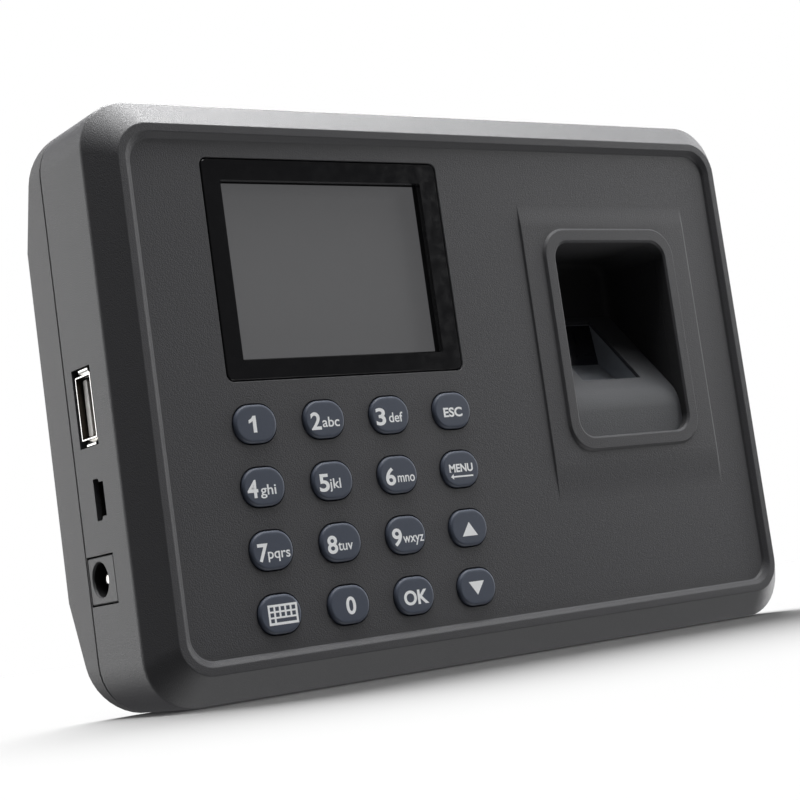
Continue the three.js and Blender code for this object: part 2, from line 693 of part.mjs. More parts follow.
function speaker() {
  const base = DEPTH - WALL - GAP - SPEAKER.height;
  const frame = [[0, 0], [7, 0], [7, 2.4], [12.9, 3.5], [SPEAKER.r, 3.5],
    [SPEAKER.r, SPEAKER.height], [12.7, SPEAKER.height], [12.7, 4.6], [6.4, 3.3], [0, 3.3], [0, 0]];
  const cone = [[0, 3.7], [5.8, 3.7], [12.3, 5], [12.3, SPEAKER.height], [6, 4.2], [3, 4.7],
    [0, 4.9], [0, 3.7]];
  const place = (profile) => profile.map(([r, along]) => [r, base + along]);
  addPiece('speaker_frame', lathe(place(frame), SPEAKER.x, SPEAKER.z), steel);
  addPiece('speaker_cone', lathe(place(cone), SPEAKER.x, SPEAKER.z), rubber);
}

// ---- screws -------------------------------------------------------------------------

function screw(x, z, headFront, spec) {
  const { headR, headDepth, shankR, length } = spec;
  const head = post(x, z, headR, headFront, headFront + headDepth);
  const shank = post(x, z, shankR, headFront - length, headFront + 0.2, 8);
  const slotDepth = headFront + headDepth - SCREW_SLOT.depth;
  const slotEnd = headFront + headDepth + THROUGH;
  const arm = headR * SCREW_SLOT.reach;
  const { half } = SCREW_SLOT;
  return cut(
    join(head, shank),
    box(x - arm, x + arm, slotDepth, slotEnd, z - half, z + half),
    box(x - half, x + half, slotDepth, slotEnd, z - arm, z + arm),
  );
}

function screws() {
  caseScrewPlaces().forEach(([x, z], i) => {
    addPiece(`case_screw_${i + 1}`, screw(x, z, SEAM_DEPTH + 2.5, CASE_SCREW), steel);
  });
  BOARD_SCREWS.forEach(([x, z], i) => {
    addPiece(`board_screw_${i + 1}`, screw(x, z, BOARD_REAR + GAP, BOARD_SCREW), steel);
  });
}

frontCover();
rearCover();
screen();
keypad();
fingerGuide();
sensor();
mainBoard();
sockets();
speaker();
screws();

export default terminal;
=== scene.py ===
"""Looks of the fingerprint scanner terminal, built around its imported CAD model."""

import math

import bmesh
import bpy
from mathutils import Matrix, Vector
from mathutils.geometry import tessellate_polygon


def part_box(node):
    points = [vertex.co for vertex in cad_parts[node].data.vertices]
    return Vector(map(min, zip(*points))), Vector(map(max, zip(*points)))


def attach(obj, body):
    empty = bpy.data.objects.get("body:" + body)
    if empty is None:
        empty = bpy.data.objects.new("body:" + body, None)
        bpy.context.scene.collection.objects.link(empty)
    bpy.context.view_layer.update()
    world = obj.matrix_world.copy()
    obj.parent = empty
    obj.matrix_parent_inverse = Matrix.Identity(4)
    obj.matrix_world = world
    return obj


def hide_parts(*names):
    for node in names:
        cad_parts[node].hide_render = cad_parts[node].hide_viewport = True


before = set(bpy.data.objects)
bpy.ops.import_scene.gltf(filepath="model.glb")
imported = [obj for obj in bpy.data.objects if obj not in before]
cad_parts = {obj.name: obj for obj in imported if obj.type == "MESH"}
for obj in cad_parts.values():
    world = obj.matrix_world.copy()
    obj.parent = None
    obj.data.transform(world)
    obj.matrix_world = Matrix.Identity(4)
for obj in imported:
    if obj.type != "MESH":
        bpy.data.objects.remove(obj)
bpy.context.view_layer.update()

MM = 0.001

# ---- places and sizes from the frame, in millimetres ----


def cad_box(node):
    low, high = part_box(node)
    return low / MM, high / MM


def cad_middle(node):
    low, high = cad_box(node)
    return (low + high) / 2


FRONT_LOW, FRONT_HIGH = cad_box("front_cover")
REAR_LOW, REAR_HIGH = cad_box("rear_cover")
SCREEN_LOW, SCREEN_HIGH = cad_box("screen_window")
GUIDE_LOW, GUIDE_HIGH = cad_box("finger_guide")

RIM_Y = FRONT_LOW.y
WIDTH = FRONT_HIGH.x - FRONT_LOW.x
HEIGHT = FRONT_HIGH.z - FRONT_LOW.z
MID_Z = (FRONT_HIGH.z + FRONT_LOW.z) / 2
SEAM = FRONT_HIGH.y - RIM_Y  # depths are distances behind the rim
BACK = REAR_HIGH.y - RIM_Y

GAP = 0.3
WALL = 2.4
CORNER_R = 10.5
RECESS = 1.2
PANEL_BACK = RECESS + WALL
CORNER_STEPS = 10
ROUND_STEPS = 4

KEY_NODES = sorted(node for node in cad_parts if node.startswith("key_"))
KEY_FLANGE = 1.1  # the flange behind each cap is this much wider all round
KEY_FLANGE_THICK = 0.9
KEY_STEM_INSET = 2.2
KEY_CORNER = 3.7
KEY_GAP = 0.2

PAD = {"left": 17.85, "right": 68.15, "bottom": 31.5, "top": 98.5, "height": 0.45}
PAD_FLAT = (41.0, 93.3)  # the pad's level part, between its two slopes
RING_WIDTH = 3.3
RING_HEIGHT = 0.6
POCKET_SIZE = (33.0, 44.5, 4.0)  # width, height and corner radius of the mouth
POCKET_X = (GUIDE_LOW.x + GUIDE_HIGH.x) / 2
POCKET_Z = 67.45
POCKET_DEPTH = 22.4

TAPER_DEPTH = 27.8
TAPER_HEIGHT = 23.7


def at(x, depth, z):
    """A point in the frame, from millimetres and a depth behind the rim."""
    return Vector((x * MM, (RIM_Y + depth) * MM, z * MM))


# ---- materials ----

EVEN = (1, 1, 1)  # no stretch
GRAIN_SCALE = 4200
GRAIN_HEIGHT = 0.00008
KEY_GRAIN_HEIGHT = 0.000012


def new_material(name, color, roughness, metallic=0.0, specular=0.5):
    material = bpy.data.materials.new(name)
    material.use_nodes = True
    shader = material.node_tree.nodes["Principled BSDF"]
    shader.inputs["Base Color"].default_value = (*color, 1)
    shader.inputs["Roughness"].default_value = roughness
    shader.inputs["Metallic"].default_value = metallic
    shader.inputs["Specular IOR Level"].default_value = specular
    return material


def noise(tree, scale, detail, stretch):
    """Noise in the piece's own coordinates."""
    place = tree.nodes.new("ShaderNodeTexCoord")
    mapping = tree.nodes.new("ShaderNodeMapping")
    texture = tree.nodes.new("ShaderNodeTexNoise")
    mapping.inputs["Scale"].default_value = stretch
    texture.inputs["Scale"].default_value = scale
    texture.inputs["Detail"].default_value = detail
    tree.links.new(place.outputs["Object"], mapping.inputs["Vector"])
    tree.links.new(mapping.outputs["Vector"], texture.inputs["Vector"])
    return texture.outputs["Fac"]


def spread(tree, value, low, high, dark=0.3, light=0.7):
    """Carries a noise value from dark..light to low..high."""
    node = tree.nodes.new("ShaderNodeMapRange")
    node.inputs["From Min"].default_value = dark
    node.inputs["From Max"].default_value = light
    node.inputs["To Min"].default_value = low
    node.inputs["To Max"].default_value = high
    tree.links.new(value, node.inputs["Value"])
    return node.outputs["Result"]


def add_mottle(material, color, amount, scale, stretch=EVEN):
    """Varies the base colour by a share of itself."""
    tree = material.node_tree
    shader = tree.nodes["Principled BSDF"]
    mix = tree.nodes.new("ShaderNodeMix")
    mix.data_type = "RGBA"
    mix.inputs["A"].default_value = (*[c * (1 - amount) for c in color], 1)
    mix.inputs["B"].default_value = (*[c * (1 + amount) for c in color], 1)
    tree.links.new(spread(tree, noise(tree, scale, 3.0, stretch), 0, 1), mix.inputs["Factor"])
    tree.links.new(mix.outputs["Result"], shader.inputs["Base Color"])


def add_roughness(material, low, high, scale, stretch=EVEN):
    """Varies the roughness between two values."""
    tree = material.node_tree
    shader = tree.nodes["Principled BSDF"]
    value = spread(tree, noise(tree, scale, 2.0, stretch), low, high)
    tree.links.new(value, shader.inputs["Roughness"])


def add_bump(material, scale, height, strength=1.0, stretch=EVEN):
    """Fine relief, `height` metres deep."""
    tree = material.node_tree
    shader = tree.nodes["Principled BSDF"]
    bump = tree.nodes.new("ShaderNodeBump")
    bump.inputs["Strength"].default_value = strength
    bump.inputs["Distance"].default_value = height
    tree.links.new(noise(tree, scale, 3.0, stretch), bump.inputs["Height"])
    tree.links.new(bump.outputs["Normal"], shader.inputs["Normal"])


def spark_plastic(name, color, roughness, height=GRAIN_HEIGHT):
    """Moulded plastic with a fine, even spark-eroded grain."""
    material = new_material(name, color, roughness, specular=0.35)
    add_mottle(material, color, 0.05, GRAIN_SCALE * 1.2)
    add_roughness(material, roughness - 0.06, roughness + 0.06, GRAIN_SCALE)
    add_bump(material, GRAIN_SCALE, height)
    return material


def metal(name, color, roughness, stretch):
    """Rolled or plated metal with faint lines along one direction."""
    material = new_material(name, color, roughness, metallic=1.0)
    add_mottle(material, color, 0.05, 900, stretch)
    add_roughness(material, roughness - 0.05, roughness + 0.05, 1500, stretch)
    add_bump(material, 2200, 0.000001, 0.5, stretch)
    return material


def smooth_plastic(name, color, roughness, mottle=0.05, specular=0.5):
    material = new_material(name, color, roughness, specular=specular)
    add_mottle(material, color, mottle, 700)
    add_roughness(material, max(roughness - 0.05, 0.02), roughness + 0.05, 500)
    add_bump(material, 1800, 0.000006, 0.5)
    return material


def clear_plastic(name, color, alpha, roughness):
    material = smooth_plastic(name, color, roughness, specular=0.2)
    material.node_tree.nodes["Principled BSDF"].inputs["Alpha"].default_value = alpha
    return material


def painted_glow_panel(name, color, glow, strength):
    """A display panel of even grey with a painted glow: a faint emission that stands in for light,
    though the display is not lit.
    """
    material = smooth_plastic(name, color, 0.6, mottle=0.015, specular=0.2)
    shader = material.node_tree.nodes["Principled BSDF"]
    shader.inputs["Emission Color"].default_value = (*glow, 1)
    shader.inputs["Emission Strength"].default_value = strength
    return material


FRONT_PLASTIC = spark_plastic("front_plastic", (0.053, 0.053, 0.057), 0.5)
REAR_PLASTIC = spark_plastic("rear_plastic", (0.074, 0.073, 0.076), 0.52)
# Painted light: a lighter copy of the case plastic, standing in for the light that falls on the
# ramp and sill.
GUIDE_PLASTIC_PAINTED_LIGHT = spark_plastic("guide_plastic_painted_light", (0.07, 0.072, 0.078), 0.5)
# Painted shade: a darker copy of the case plastic for the finger pocket's walls and the ring's
# inner wall, where shade falls.
WELL_SHADE_PLASTIC = spark_plastic("well_painted_shade", (0.036, 0.036, 0.038), 0.6)
KEY_PLASTIC = spark_plastic("key_plastic", (0.062, 0.073, 0.1), 0.48, height=KEY_GRAIN_HEIGHT)
INK = smooth_plastic("white_ink", (0.86, 0.87, 0.88), 0.45, mottle=0.02)
MASK_BLACK = smooth_plastic("window_border", (0.011, 0.011, 0.012), 0.12, specular=0.2)
WINDOW_CLEAR = clear_plastic("window_clear", (0.02, 0.02, 0.022), 0.1, 0.05)
# Painted glow: the display's faint emission evens out its grey in place of light.
DISPLAY_GREY = painted_glow_panel("display_grey", (0.06, 0.06, 0.061), (0.97, 0.97, 1.0), 0.092)
DISPLAY_EDGE = smooth_plastic("display_edge", (0.012, 0.012, 0.013), 0.4)
SENSOR_BLACK = smooth_plastic("sensor_black", (0.010, 0.010, 0.012), 0.3, specular=0.2)
SENSOR_HOUSING = smooth_plastic("sensor_housing", (0.36, 0.38, 0.41), 0.5)
SENSOR_CLEAR = clear_plastic("sensor_clear", (0.02, 0.022, 0.03), 0.06, 0.04)
NICKEL = metal("nickel", (0.72, 0.71, 0.69), 0.22, (1, 1, 14))
# Dark brown-grey metal: the small socket's can, and painted shade on the inside of the large
# socket's nickel shell.
DARK_STEEL_AND_SHADE = metal("dark_steel_and_painted_shade", (0.10, 0.085, 0.07), 0.4, (1, 1, 14))
ZINC = metal("zinc", (0.55, 0.55, 0.56), 0.35, (8, 1, 1))
TIN = metal("tin_plate", (0.6, 0.6, 0.6), 0.4, (12, 1, 1))
GOLD = metal("gold_contact", (0.8, 0.6, 0.25), 0.25, (10, 1, 1))
IVORY = smooth_plastic("ivory_nylon", (0.86, 0.84, 0.8), 0.35)
# Black plastic for the small socket's core, and painted shade inside the small socket's can and
# deep in the round socket's bore.
SOCKET_BLACK_AND_SHADE = smooth_plastic("socket_black_and_painted_shade", (0.012, 0.012, 0.013), 0.45)
SOCKET_GREY = spark_plastic("socket_grey", (0.082, 0.083, 0.086), 0.5)
RUBBER = smooth_plastic("black_rubber", (0.02, 0.02, 0.022), 0.75)
BOARD_GREEN = smooth_plastic("solder_mask", (0.012, 0.09, 0.035), 0.35, mottle=0.2)
CHIP_BLACK = smooth_plastic("chip_epoxy", (0.015, 0.015, 0.016), 0.55)
RIBBON = smooth_plastic("ribbon_film", (0.38, 0.19, 0.05), 0.35, mottle=0.1)

# ---- mesh tools ----


class Piece:
    """One visible piece, gathered face by face."""

    def __init__(self):
        self.mesh = bmesh.new()
        self.paint = 0

    def loop(self, points):
        return [self.mesh.verts.new(point) for point in points]

    def face(self, vertices):
        made = self.mesh.faces.new(vertices)
        made.material_index = self.paint
        return made

    def bridge(self, a, b, skip=None):
        for i in range(len(a)):
            j = (i + 1) % len(a)
            if i != skip:
                self.face((a[i], a[j], b[j], b[i]))

    def tube(self, loops, skip=None):
        for a, b in zip(loops, loops[1:]):
            self.bridge(a, b, skip)

    def layers(self, outline, x, z, *depths):
        """Copies of one outline around (x, z), at several depths."""
        return [self.loop(plate(outline, x, z, depth)) for depth in depths]

    def fill(self, outer, holes=()):
        rings = [outer, *holes]
        vertices = [vertex for ring in rings for vertex in ring]
        for triangle in tessellate_polygon([[vertex.co for vertex in ring] for ring in rings]):
            self.face([vertices[i] for i in triangle])

    def solid(self, loops):
        """A tube with both of its ends closed."""
        self.tube(loops)
        self.fill(loops[0])
        self.fill(loops[-1])

    def build(self, name, materials, body, replaces=(), sharp=35):
        bmesh.ops.recalc_face_normals(self.mesh, faces=self.mesh.faces)
        data = bpy.data.meshes.new(name)
        self.mesh.to_mesh(data)
        self.mesh.free()
        piece = bpy.data.objects.new(name, data)
        bpy.context.scene.collection.objects.link(piece)
        for material in materials:
            data.materials.append(material)
        data.polygons.foreach_set("use_smooth", [True] * len(data.polygons))
        data.set_sharp_from_angle(angle=math.radians(sharp))
        weighted = piece.modifiers.new("even_normals", "WEIGHTED_NORMAL")
        weighted.keep_sharp = True
        weighted.weight = 90
        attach(piece, body)
        if replaces:
            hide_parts(*replaces)
        return piece


def rounded_rect(width, height, radius, steps=CORNER_STEPS):
    """A rounded rectangle's outline around the origin, counter-clockwise from the right."""
    points = []
    for corner in range(4):
        cx = (1 if corner in (0, 3) else -1) * (width / 2 - radius)
        cz = (1 if corner in (0, 1) else -1) * (height / 2 - radius)
        for step in range(steps + 1):
            angle = (corner + step / steps) * math.pi / 2
            points.append((cx + radius * math.cos(angle), cz + radius * math.sin(angle)))
    return points


def key_outline(node, growth=0.0):
    """A key cap's outline, moved outwards by `growth`."""
    low, high = cad_box(node)
    more = growth - KEY_FLANGE
    width, height = high.x - low.x + 2 * more, high.z - low.z + 2 * more
    return rounded_rect(width, height, KEY_CORNER + growth, 9)


def circle(radius, steps=32):
    turns = [2 * math.pi * step / steps for step in range(steps)]
    return [(radius * math.cos(a), radius * math.sin(a)) for a in turns]


def plate(outline, x, z, depth):
    """An outline in X and Z, placed around (x, z) at one depth."""
    return [at(x + px, depth, z + pz) for px, pz in outline]


def soften(stations):
    """Rounds a profile: each station is a tuple of numbers, and its last one is the rounding."""
    rounded = []
    for i, station in enumerate(stations):
        here, reach = Vector(station[:-1]), station[-1]
        if reach == 0 or i in (0, len(stations) - 1):
            rounded.append(tuple(here))
            continue
        before, after = Vector(stations[i - 1][:-1]), Vector(stations[i + 1][:-1])
        start = here.lerp(before, min(reach / (here - before).length, 0.5))
        end = here.lerp(after, min(reach / (here - after).length, 0.5))
        for step in range(ROUND_STEPS + 1):
            t = step / ROUND_STEPS
            rounded.append(tuple(start.lerp(here, t).lerp(here.lerp(end, t), t)))
    return rounded


def slab(points, x0, x1):
    """Two copies of a closed (depth, z) outline, at two X positions."""
    return [[at(x, depth, z) for depth, z in points] for x in (x0, x1)]


# ---- front cover ----

SEAM_EDGE = 0.2  # the bevel on each side of the seam
SEAM_GAP = 0.16
SOCKET_GAP = 0.3
SEAM_MARGIN = 0.15  # a socket's hole stops this far in front of the seam's bevel
PAD_FOOT_STEPS = 8
PAD_HEAD_STEPS = 6
HOLE_EDGE = 0.15  # the rounding around the panel's holes
SCREEN_GAP = 0.5
SCREEN_CORNER = 1.6
SCREEN_SEAT = 0.2  # the window's seat lies this far behind the window
SCREEN_LEDGE = (52.5, 40.2, 1)  # width, height and corner radius of the display's opening

# Each station is (inset in X, inset in Z, corner radius, depth, rounding).
SHELL_OUTSIDE = [
    (SEAM_EDGE, SEAM_EDGE, CORNER_R - SEAM_EDGE, SEAM, 0),
    (0, 0, CORNER_R, SEAM - SEAM_EDGE, 0.12),
    (0, 0, CORNER_R, 5.4, 0.7),
    (5.2, 5.7, 7.0, 0, 0.25),
    (6.8, 7.35, 5.6, 0, 0.3),
    (7.85, 8.2, 5.2, 0.75, 0.15),
    (8.15, 8.5, 5.0, RECESS, 0.1),
    (9.2, 9.7, 4.6, RECESS, 0),
]
SHELL_INSIDE = [
    (WALL, WALL, CORNER_R - WALL, SEAM, 0),
    (WALL, WALL, CORNER_R - WALL, 7.8, 0.8),
    (7.6, 8.1, 6.0, PANEL_BACK, 0),
]
LEFT_EDGE = 2 * (CORNER_STEPS + 1) - 1  # the outline's straight stretch down the left wall


def shell_loops(piece, stations):
    loops = []
    for inset_x, inset_z, radius, depth in soften(stations):
        outline = rounded_rect(WIDTH - 2 * inset_x, HEIGHT - 2 * inset_z, radius)
        loops += piece.layers(outline, 0, MID_Z, depth)
    return loops


def rectangle(x0, x1, z0, z1):
    return [(x0, z0), (x1, z0), (x1, z1), (x0, z1)]


def hole_walls(piece, outline, x, z, stations):
    """A hole's wall from front to back. Stations are (growth, depth, rounding)."""
    loops = []
    for growth, depth in soften(stations):
        loops += piece.layers(grown(outline, growth), x, z, depth)
    piece.tube(loops)
    return loops[0], loops[-1]


def grown(outline, amount):
    """An outline moved outwards by about that amount."""
    width = max(p[0] for p in outline)
    height = max(p[1] for p in outline)
    return [(px * (1 + amount / width), pz * (1 + amount / height)) for px, pz in outline]


def side_outline(node):
    """A socket's square-cornered hole in the left wall, as (depth, z)."""
    low, high = cad_box(node)
    front = low.y - RIM_Y - SOCKET_GAP
    rear = min(high.y - RIM_Y + SOCKET_GAP, SEAM - SEAM_EDGE - SEAM_MARGIN)
    return rectangle(front, rear, low.z - SOCKET_GAP, high.z + SOCKET_GAP)


MINI_STEP = {"height": 0.75, "place": 0.45, "slope": 0.3}


def mini_outline():
    """The small socket's mouth: a wide half at the back and a narrower one in front."""
    low, high = cad_box("mini_usb_shell")
    wide, middle_z = (high.z - low.z) / 2, (high.z + low.z) / 2
    narrow = wide - MINI_STEP["height"]
    front, rear = low.y - RIM_Y - 0.1, high.y - RIM_Y
    step, slope = front + (rear - front) * MINI_STEP["place"], MINI_STEP["slope"]
    half = [(front, narrow), (step - slope, narrow), (step + slope, wide), (rear, wide)]
    lower = [(depth, middle_z - height) for depth, height in half]
    upper = [(depth, middle_z + height) for depth, height in reversed(half)]
    return lower + upper


def ease(t):
    """A smooth rise from 0 to 1."""
    return t * t * (3 - 2 * t)


def pad_rows():
    """Heights of the pad above the panel, as (z, height), from its foot to its head."""
    rows = []
    for step in range(PAD_FOOT_STEPS + 1):
        t = step / PAD_FOOT_STEPS
        z = PAD["bottom"] + (PAD_FLAT[0] - PAD["bottom"]) * t
        rows.append((z, PAD["height"] * ease(t)))
    for step in range(PAD_HEAD_STEPS + 1):
        t = step / PAD_HEAD_STEPS
        z = PAD_FLAT[1] + (PAD["top"] - PAD_FLAT[1]) * t
        rows.append((z, PAD["height"] * (1 - ease(t))))
    return rows


# The pad's two upright sides: distances from its edge and shares of its height.
PAD_LEFT_SIDE = [(0, 0), (0.1, 0.25), (0.2, 0.8), (0.38, 1)]
PAD_RIGHT_SIDE = [(0, 0), (0.2, 0.15), (0.65, 0.85), (0.9, 1)]


def finger_pad(piece):
    """The raised pad. Returns its foot outline, and its level face's outline and ring hole."""
    columns = [(PAD["left"] + x, share) for x, share in PAD_LEFT_SIDE]
    columns += [(PAD["right"] - x, share) for x, share in reversed(PAD_RIGHT_SIDE)]
    grid = []
    for z, height in pad_rows():
        grid.append(piece.loop([at(x, RECESS - share * height, z) for x, share in columns]))
    inner = len(PAD_LEFT_SIDE)
    flat_row = PAD_FOOT_STEPS
    for row, (low, high) in enumerate(zip(grid, grid[1:])):
        for column in range(len(columns) - 1):
            if row == flat_row and column == inner - 1:
                continue
            piece.face((low[column], low[column + 1], high[column + 1], high[column]))
    foot = list(grid[0])
    foot += [row[-1] for row in grid[1:-1]]
    foot += list(reversed(grid[-1]))
    foot += [row[0] for row in reversed(grid[1:-1])]
    level = [grid[flat_row][inner - 1], grid[flat_row][inner]]
    level += [grid[flat_row + 1][inner], grid[flat_row + 1][inner - 1]]
    return foot, level


def finger_ring(piece):
    """The ring and the pocket's mouth. Returns its outer loop and its loop at the panel's back."""
    width, height, radius = POCKET_SIZE
    pad_face = RECESS - PAD["height"]
    top = pad_face - RING_HEIGHT
    stations = [
        (RING_WIDTH + 0.25, pad_face, 0),
        (RING_WIDTH, pad_face, 0.1),
        (RING_WIDTH - 0.45, top, 0.14),
        (0.45, top, 0.1),
        (0, top + 0.38, 0.1),
        (0, PANEL_BACK, 0),
    ]
    loops = []
    for growth, depth in soften(stations):
        spread_radius = radius + growth * 0.8
        outline = rounded_rect(width + 2 * growth, height + 2 * growth, spread_radius)
        loops += piece.layers(outline, POCKET_X, POCKET_Z, depth)
    shade = len(loops) - 2
    piece.tube(loops[:shade + 1])
    # Painted shade: the mouth's inner wall behind the ring's chamfer takes the darker well
    # material.
    piece.paint = 1
    piece.tube(loops[shade:])
    piece.paint = 0
    return loops[0], loops[-1]


def front_cover():
    piece = Piece()
    outside = shell_loops(piece, SHELL_OUTSIDE)
    inside = shell_loops(piece, SHELL_INSIDE)
    wall_back = ROUND_STEPS + 1
    wall_front = wall_back + 1
    piece.tube(outside[:wall_back + 1])
    piece.bridge(outside[wall_back], outside[wall_front], skip=LEFT_EDGE)
    piece.tube(outside[wall_front:])
    piece.bridge(outside[0], inside[0])
    piece.bridge(inside[0], inside[1], skip=LEFT_EDGE)
    piece.tube(inside[1:])

    outer_x, inner_x = -WIDTH / 2, -WIDTH / 2 + WALL
    outer_holes, inner_holes = [], []
    for outline in (side_outline("usb_a_shell"), mini_outline(), side_outline("dc_jack_body")):
        near, far = [piece.loop(points) for points in slab(outline, outer_x, inner_x)]
        piece.bridge(near, far)
        outer_holes.append(near)
        inner_holes.append(far)
    i, j = LEFT_EDGE, (LEFT_EDGE + 1) % len(outside[0])
    back, front = outside[wall_back], outside[wall_front]
    piece.fill([back[i], back[j], front[j], front[i]], outer_holes)
    piece.fill([inside[0][i], inside[0][j], inside[1][j], inside[1][i]], inner_holes)

    panel_holes, back_holes = [], []
    foot, level = finger_pad(piece)
    ring_outer, ring_back = finger_ring(piece)
    panel_holes.append(foot)
    back_holes.append(ring_back)
    piece.fill(level, [ring_outer])

    middle, size = cad_middle("screen_window"), SCREEN_HIGH - SCREEN_LOW
    screen = rounded_rect(size.x + SCREEN_GAP, size.z + SCREEN_GAP, SCREEN_CORNER, 5)
    ledge_depth = RECESS + size.y + SCREEN_SEAT
    edge, seat = hole_walls(piece, screen, middle.x, middle.z, [
        (HOLE_EDGE, RECESS, 0), (0, RECESS + HOLE_EDGE, 0.1), (0, ledge_depth, 0)])
    ledge = rounded_rect(*SCREEN_LEDGE, 5)
    inner_edge, ledge_back = hole_walls(piece, ledge, middle.x, middle.z,
                                        [(0, ledge_depth, 0), (0, PANEL_BACK, 0)])
    piece.fill(seat, [inner_edge])
    panel_holes.append(edge)
    back_holes.append(ledge_back)

    for node in KEY_NODES:
        centre = cad_middle(node)
        outline = key_outline(node, KEY_GAP)
        near, far = hole_walls(piece, outline, centre.x, centre.z, [
            (0.12, RECESS, 0), (0, RECESS + HOLE_EDGE, 0.1), (0, PANEL_BACK, 0)])
        panel_holes.append(near)
        back_holes.append(far)
    piece.fill(outside[-1], panel_holes)
    piece.fill(inside[-1], back_holes)
    piece.build("front_shell", [FRONT_PLASTIC, WELL_SHADE_PLASTIC], "case",
                ["front_cover"])


# ---- rear cover ----

BACK_EDGE = 1.0  # the rounding around the back
BACK_EDGE_STEPS = 4
WELL = {"radius": 3.5, "hole": 1.6, "depth": 2.2, "steps": 28}
KEYHOLES = [(-40, 78), (40, 78)]
KEYHOLE = {"radius": 4.6, "slot": 2.3, "length": 8.0}
GRILLE = {"radius": 11, "pitch": 4.0, "slot": 1.8, "corner": 0.88}


def rear_depth(z, inset=0.0):
    """How far back the case reaches at a height."""
    rise = min(z, HEIGHT - z, TAPER_HEIGHT) / TAPER_HEIGHT
    return TAPER_DEPTH + (BACK - TAPER_DEPTH) * max(rise, 0) - inset


def rear_outline(inset, radius):
    """The case's outline with extra points where the back's slopes meet its level part."""
    outline = rounded_rect(WIDTH - 2 * inset, HEIGHT - 2 * inset, radius)
    half = WIDTH / 2 - inset
    low, high = TAPER_HEIGHT - MID_Z, HEIGHT - TAPER_HEIGHT - MID_Z
    steps = CORNER_STEPS + 1
    left = [(-half, high), (-half, low)]
    right = [(half, low), (half, high)]
    return outline[:2 * steps] + left + outline[2 * steps:] + right


def rear_loop(piece, inset, radius, lift=0.0, depth=None):
    """The case's outline at one depth, or along the back, `lift` in front of it."""
    outline = [(px, MID_Z + pz) for px, pz in rear_outline(inset, radius)]
    return piece.loop([at(x, depth or rear_depth(z, lift), z) for x, z in outline])


def screw_well(piece, x, z):
    """A screw's well through a slope: its rim on the slope and its floor with a screw hole."""
    wide = circle(WELL["radius"], WELL["steps"])
    narrow = circle(WELL["hole"], WELL["steps"])
    bottom = SEAM + WELL["depth"]
    rim = piece.loop([at(x + px, rear_depth(z + pz), z + pz) for px, pz in wide])
    foot = piece.loop(plate(wide, x, z, bottom))
    hole, end = piece.layers(narrow, x, z, bottom, SEAM + GAP)
    piece.bridge(rim, foot)
    piece.fill(foot, [hole])
    piece.bridge(hole, end)
    piece.fill(end)
    return rim


def keyhole_outline(x, z):
    """A round hole for a screw's head, with a slot for its shank above it."""
    radius, slot, length = KEYHOLE["radius"], KEYHOLE["slot"], KEYHOLE["length"]
    start = math.acos(slot / radius)
    points = []
    for step in range(25):
        angle = math.pi - start + (math.pi + 2 * start) * step / 24
        points.append((x + radius * math.cos(angle), z + radius * math.sin(angle)))
    for step in range(13):
        angle = math.pi * step / 12
        points.append((x + slot * math.cos(angle), z + length + slot * math.sin(angle)))
    return points


def grille_outlines():
    """Five slots that together fill a circle in front of the speaker."""
    middle = cad_middle("speaker_frame")
    outlines = []
    for row in range(-2, 3):
        offset = row * GRILLE["pitch"]
        half = math.sqrt(GRILLE["radius"] ** 2 - offset ** 2)
        slot = rounded_rect(2 * half, GRILLE["slot"], GRILLE["corner"], 4)
        outlines.append([(middle.x + px, middle.z + offset + pz) for px, pz in slot])
    return outlines


def back_parts(loop):
    """A loop around the back, split into its upper slope, its level part and its lower slope."""
    left, right = 2 * (CORNER_STEPS + 1), len(loop) - 2
    upper = [loop[-1], *loop[:left + 1]]
    level = [loop[left], loop[left + 1], loop[right], loop[-1]]
    return upper, level, loop[left + 1:right + 1]


def rear_cover():
    piece = Piece()
    start = SEAM + SEAM_GAP
    loops = [
        rear_loop(piece, WALL, CORNER_R - WALL, depth=start),
        rear_loop(piece, SEAM_EDGE, CORNER_R - SEAM_EDGE, depth=start),
        rear_loop(piece, 0, CORNER_R, depth=start + SEAM_EDGE),
    ]
    for step in range(BACK_EDGE_STEPS + 1):
        angle = math.pi / 2 * step / BACK_EDGE_STEPS
        inset, lift = BACK_EDGE * (1 - math.cos(angle)), BACK_EDGE * (1 - math.sin(angle))
        loops.append(rear_loop(piece, inset, CORNER_R - inset, lift=lift))
    piece.tube(loops)

    upper_wells, lower_wells = [], []
    for number in range(1, 5):
        centre = cad_middle(f"case_screw_{number}")
        wells = upper_wells if centre.z > MID_Z else lower_wells
        wells.append(screw_well(piece, centre.x, centre.z))
    back_holes, inner_holes = [], []
    for outline in [keyhole_outline(x, z) for x, z in KEYHOLES] + grille_outlines():
        near, lip = piece.layers(outline, 0, 0, BACK, BACK - WALL)
        piece.bridge(near, lip)
        back_holes.append(near)
        inner_holes.append(lip)
    for part, holes in zip(back_parts(loops[-1]), (upper_wells, back_holes, lower_wells)):
        piece.fill(part, holes)

    inner = rear_loop(piece, WALL, CORNER_R - WALL, lift=WALL)
    piece.bridge(loops[0], inner)
    for part, holes in zip(back_parts(inner), ((), inner_holes, ())):
        piece.fill(part, holes)
    piece.build("rear_shell", [REAR_PLASTIC], "case", ["rear_cover"])


# ---- screen ----

WINDOW = {"width": 49.3, "height": 36.9, "corner": 0.3, "x": -32.6, "z": 84.5}
WINDOW_CORNER = 1.3
DISPLAY = {"width": 47.6, "height": 36.3, "corner": 0.1, "x": -31.2, "z": 85.0}


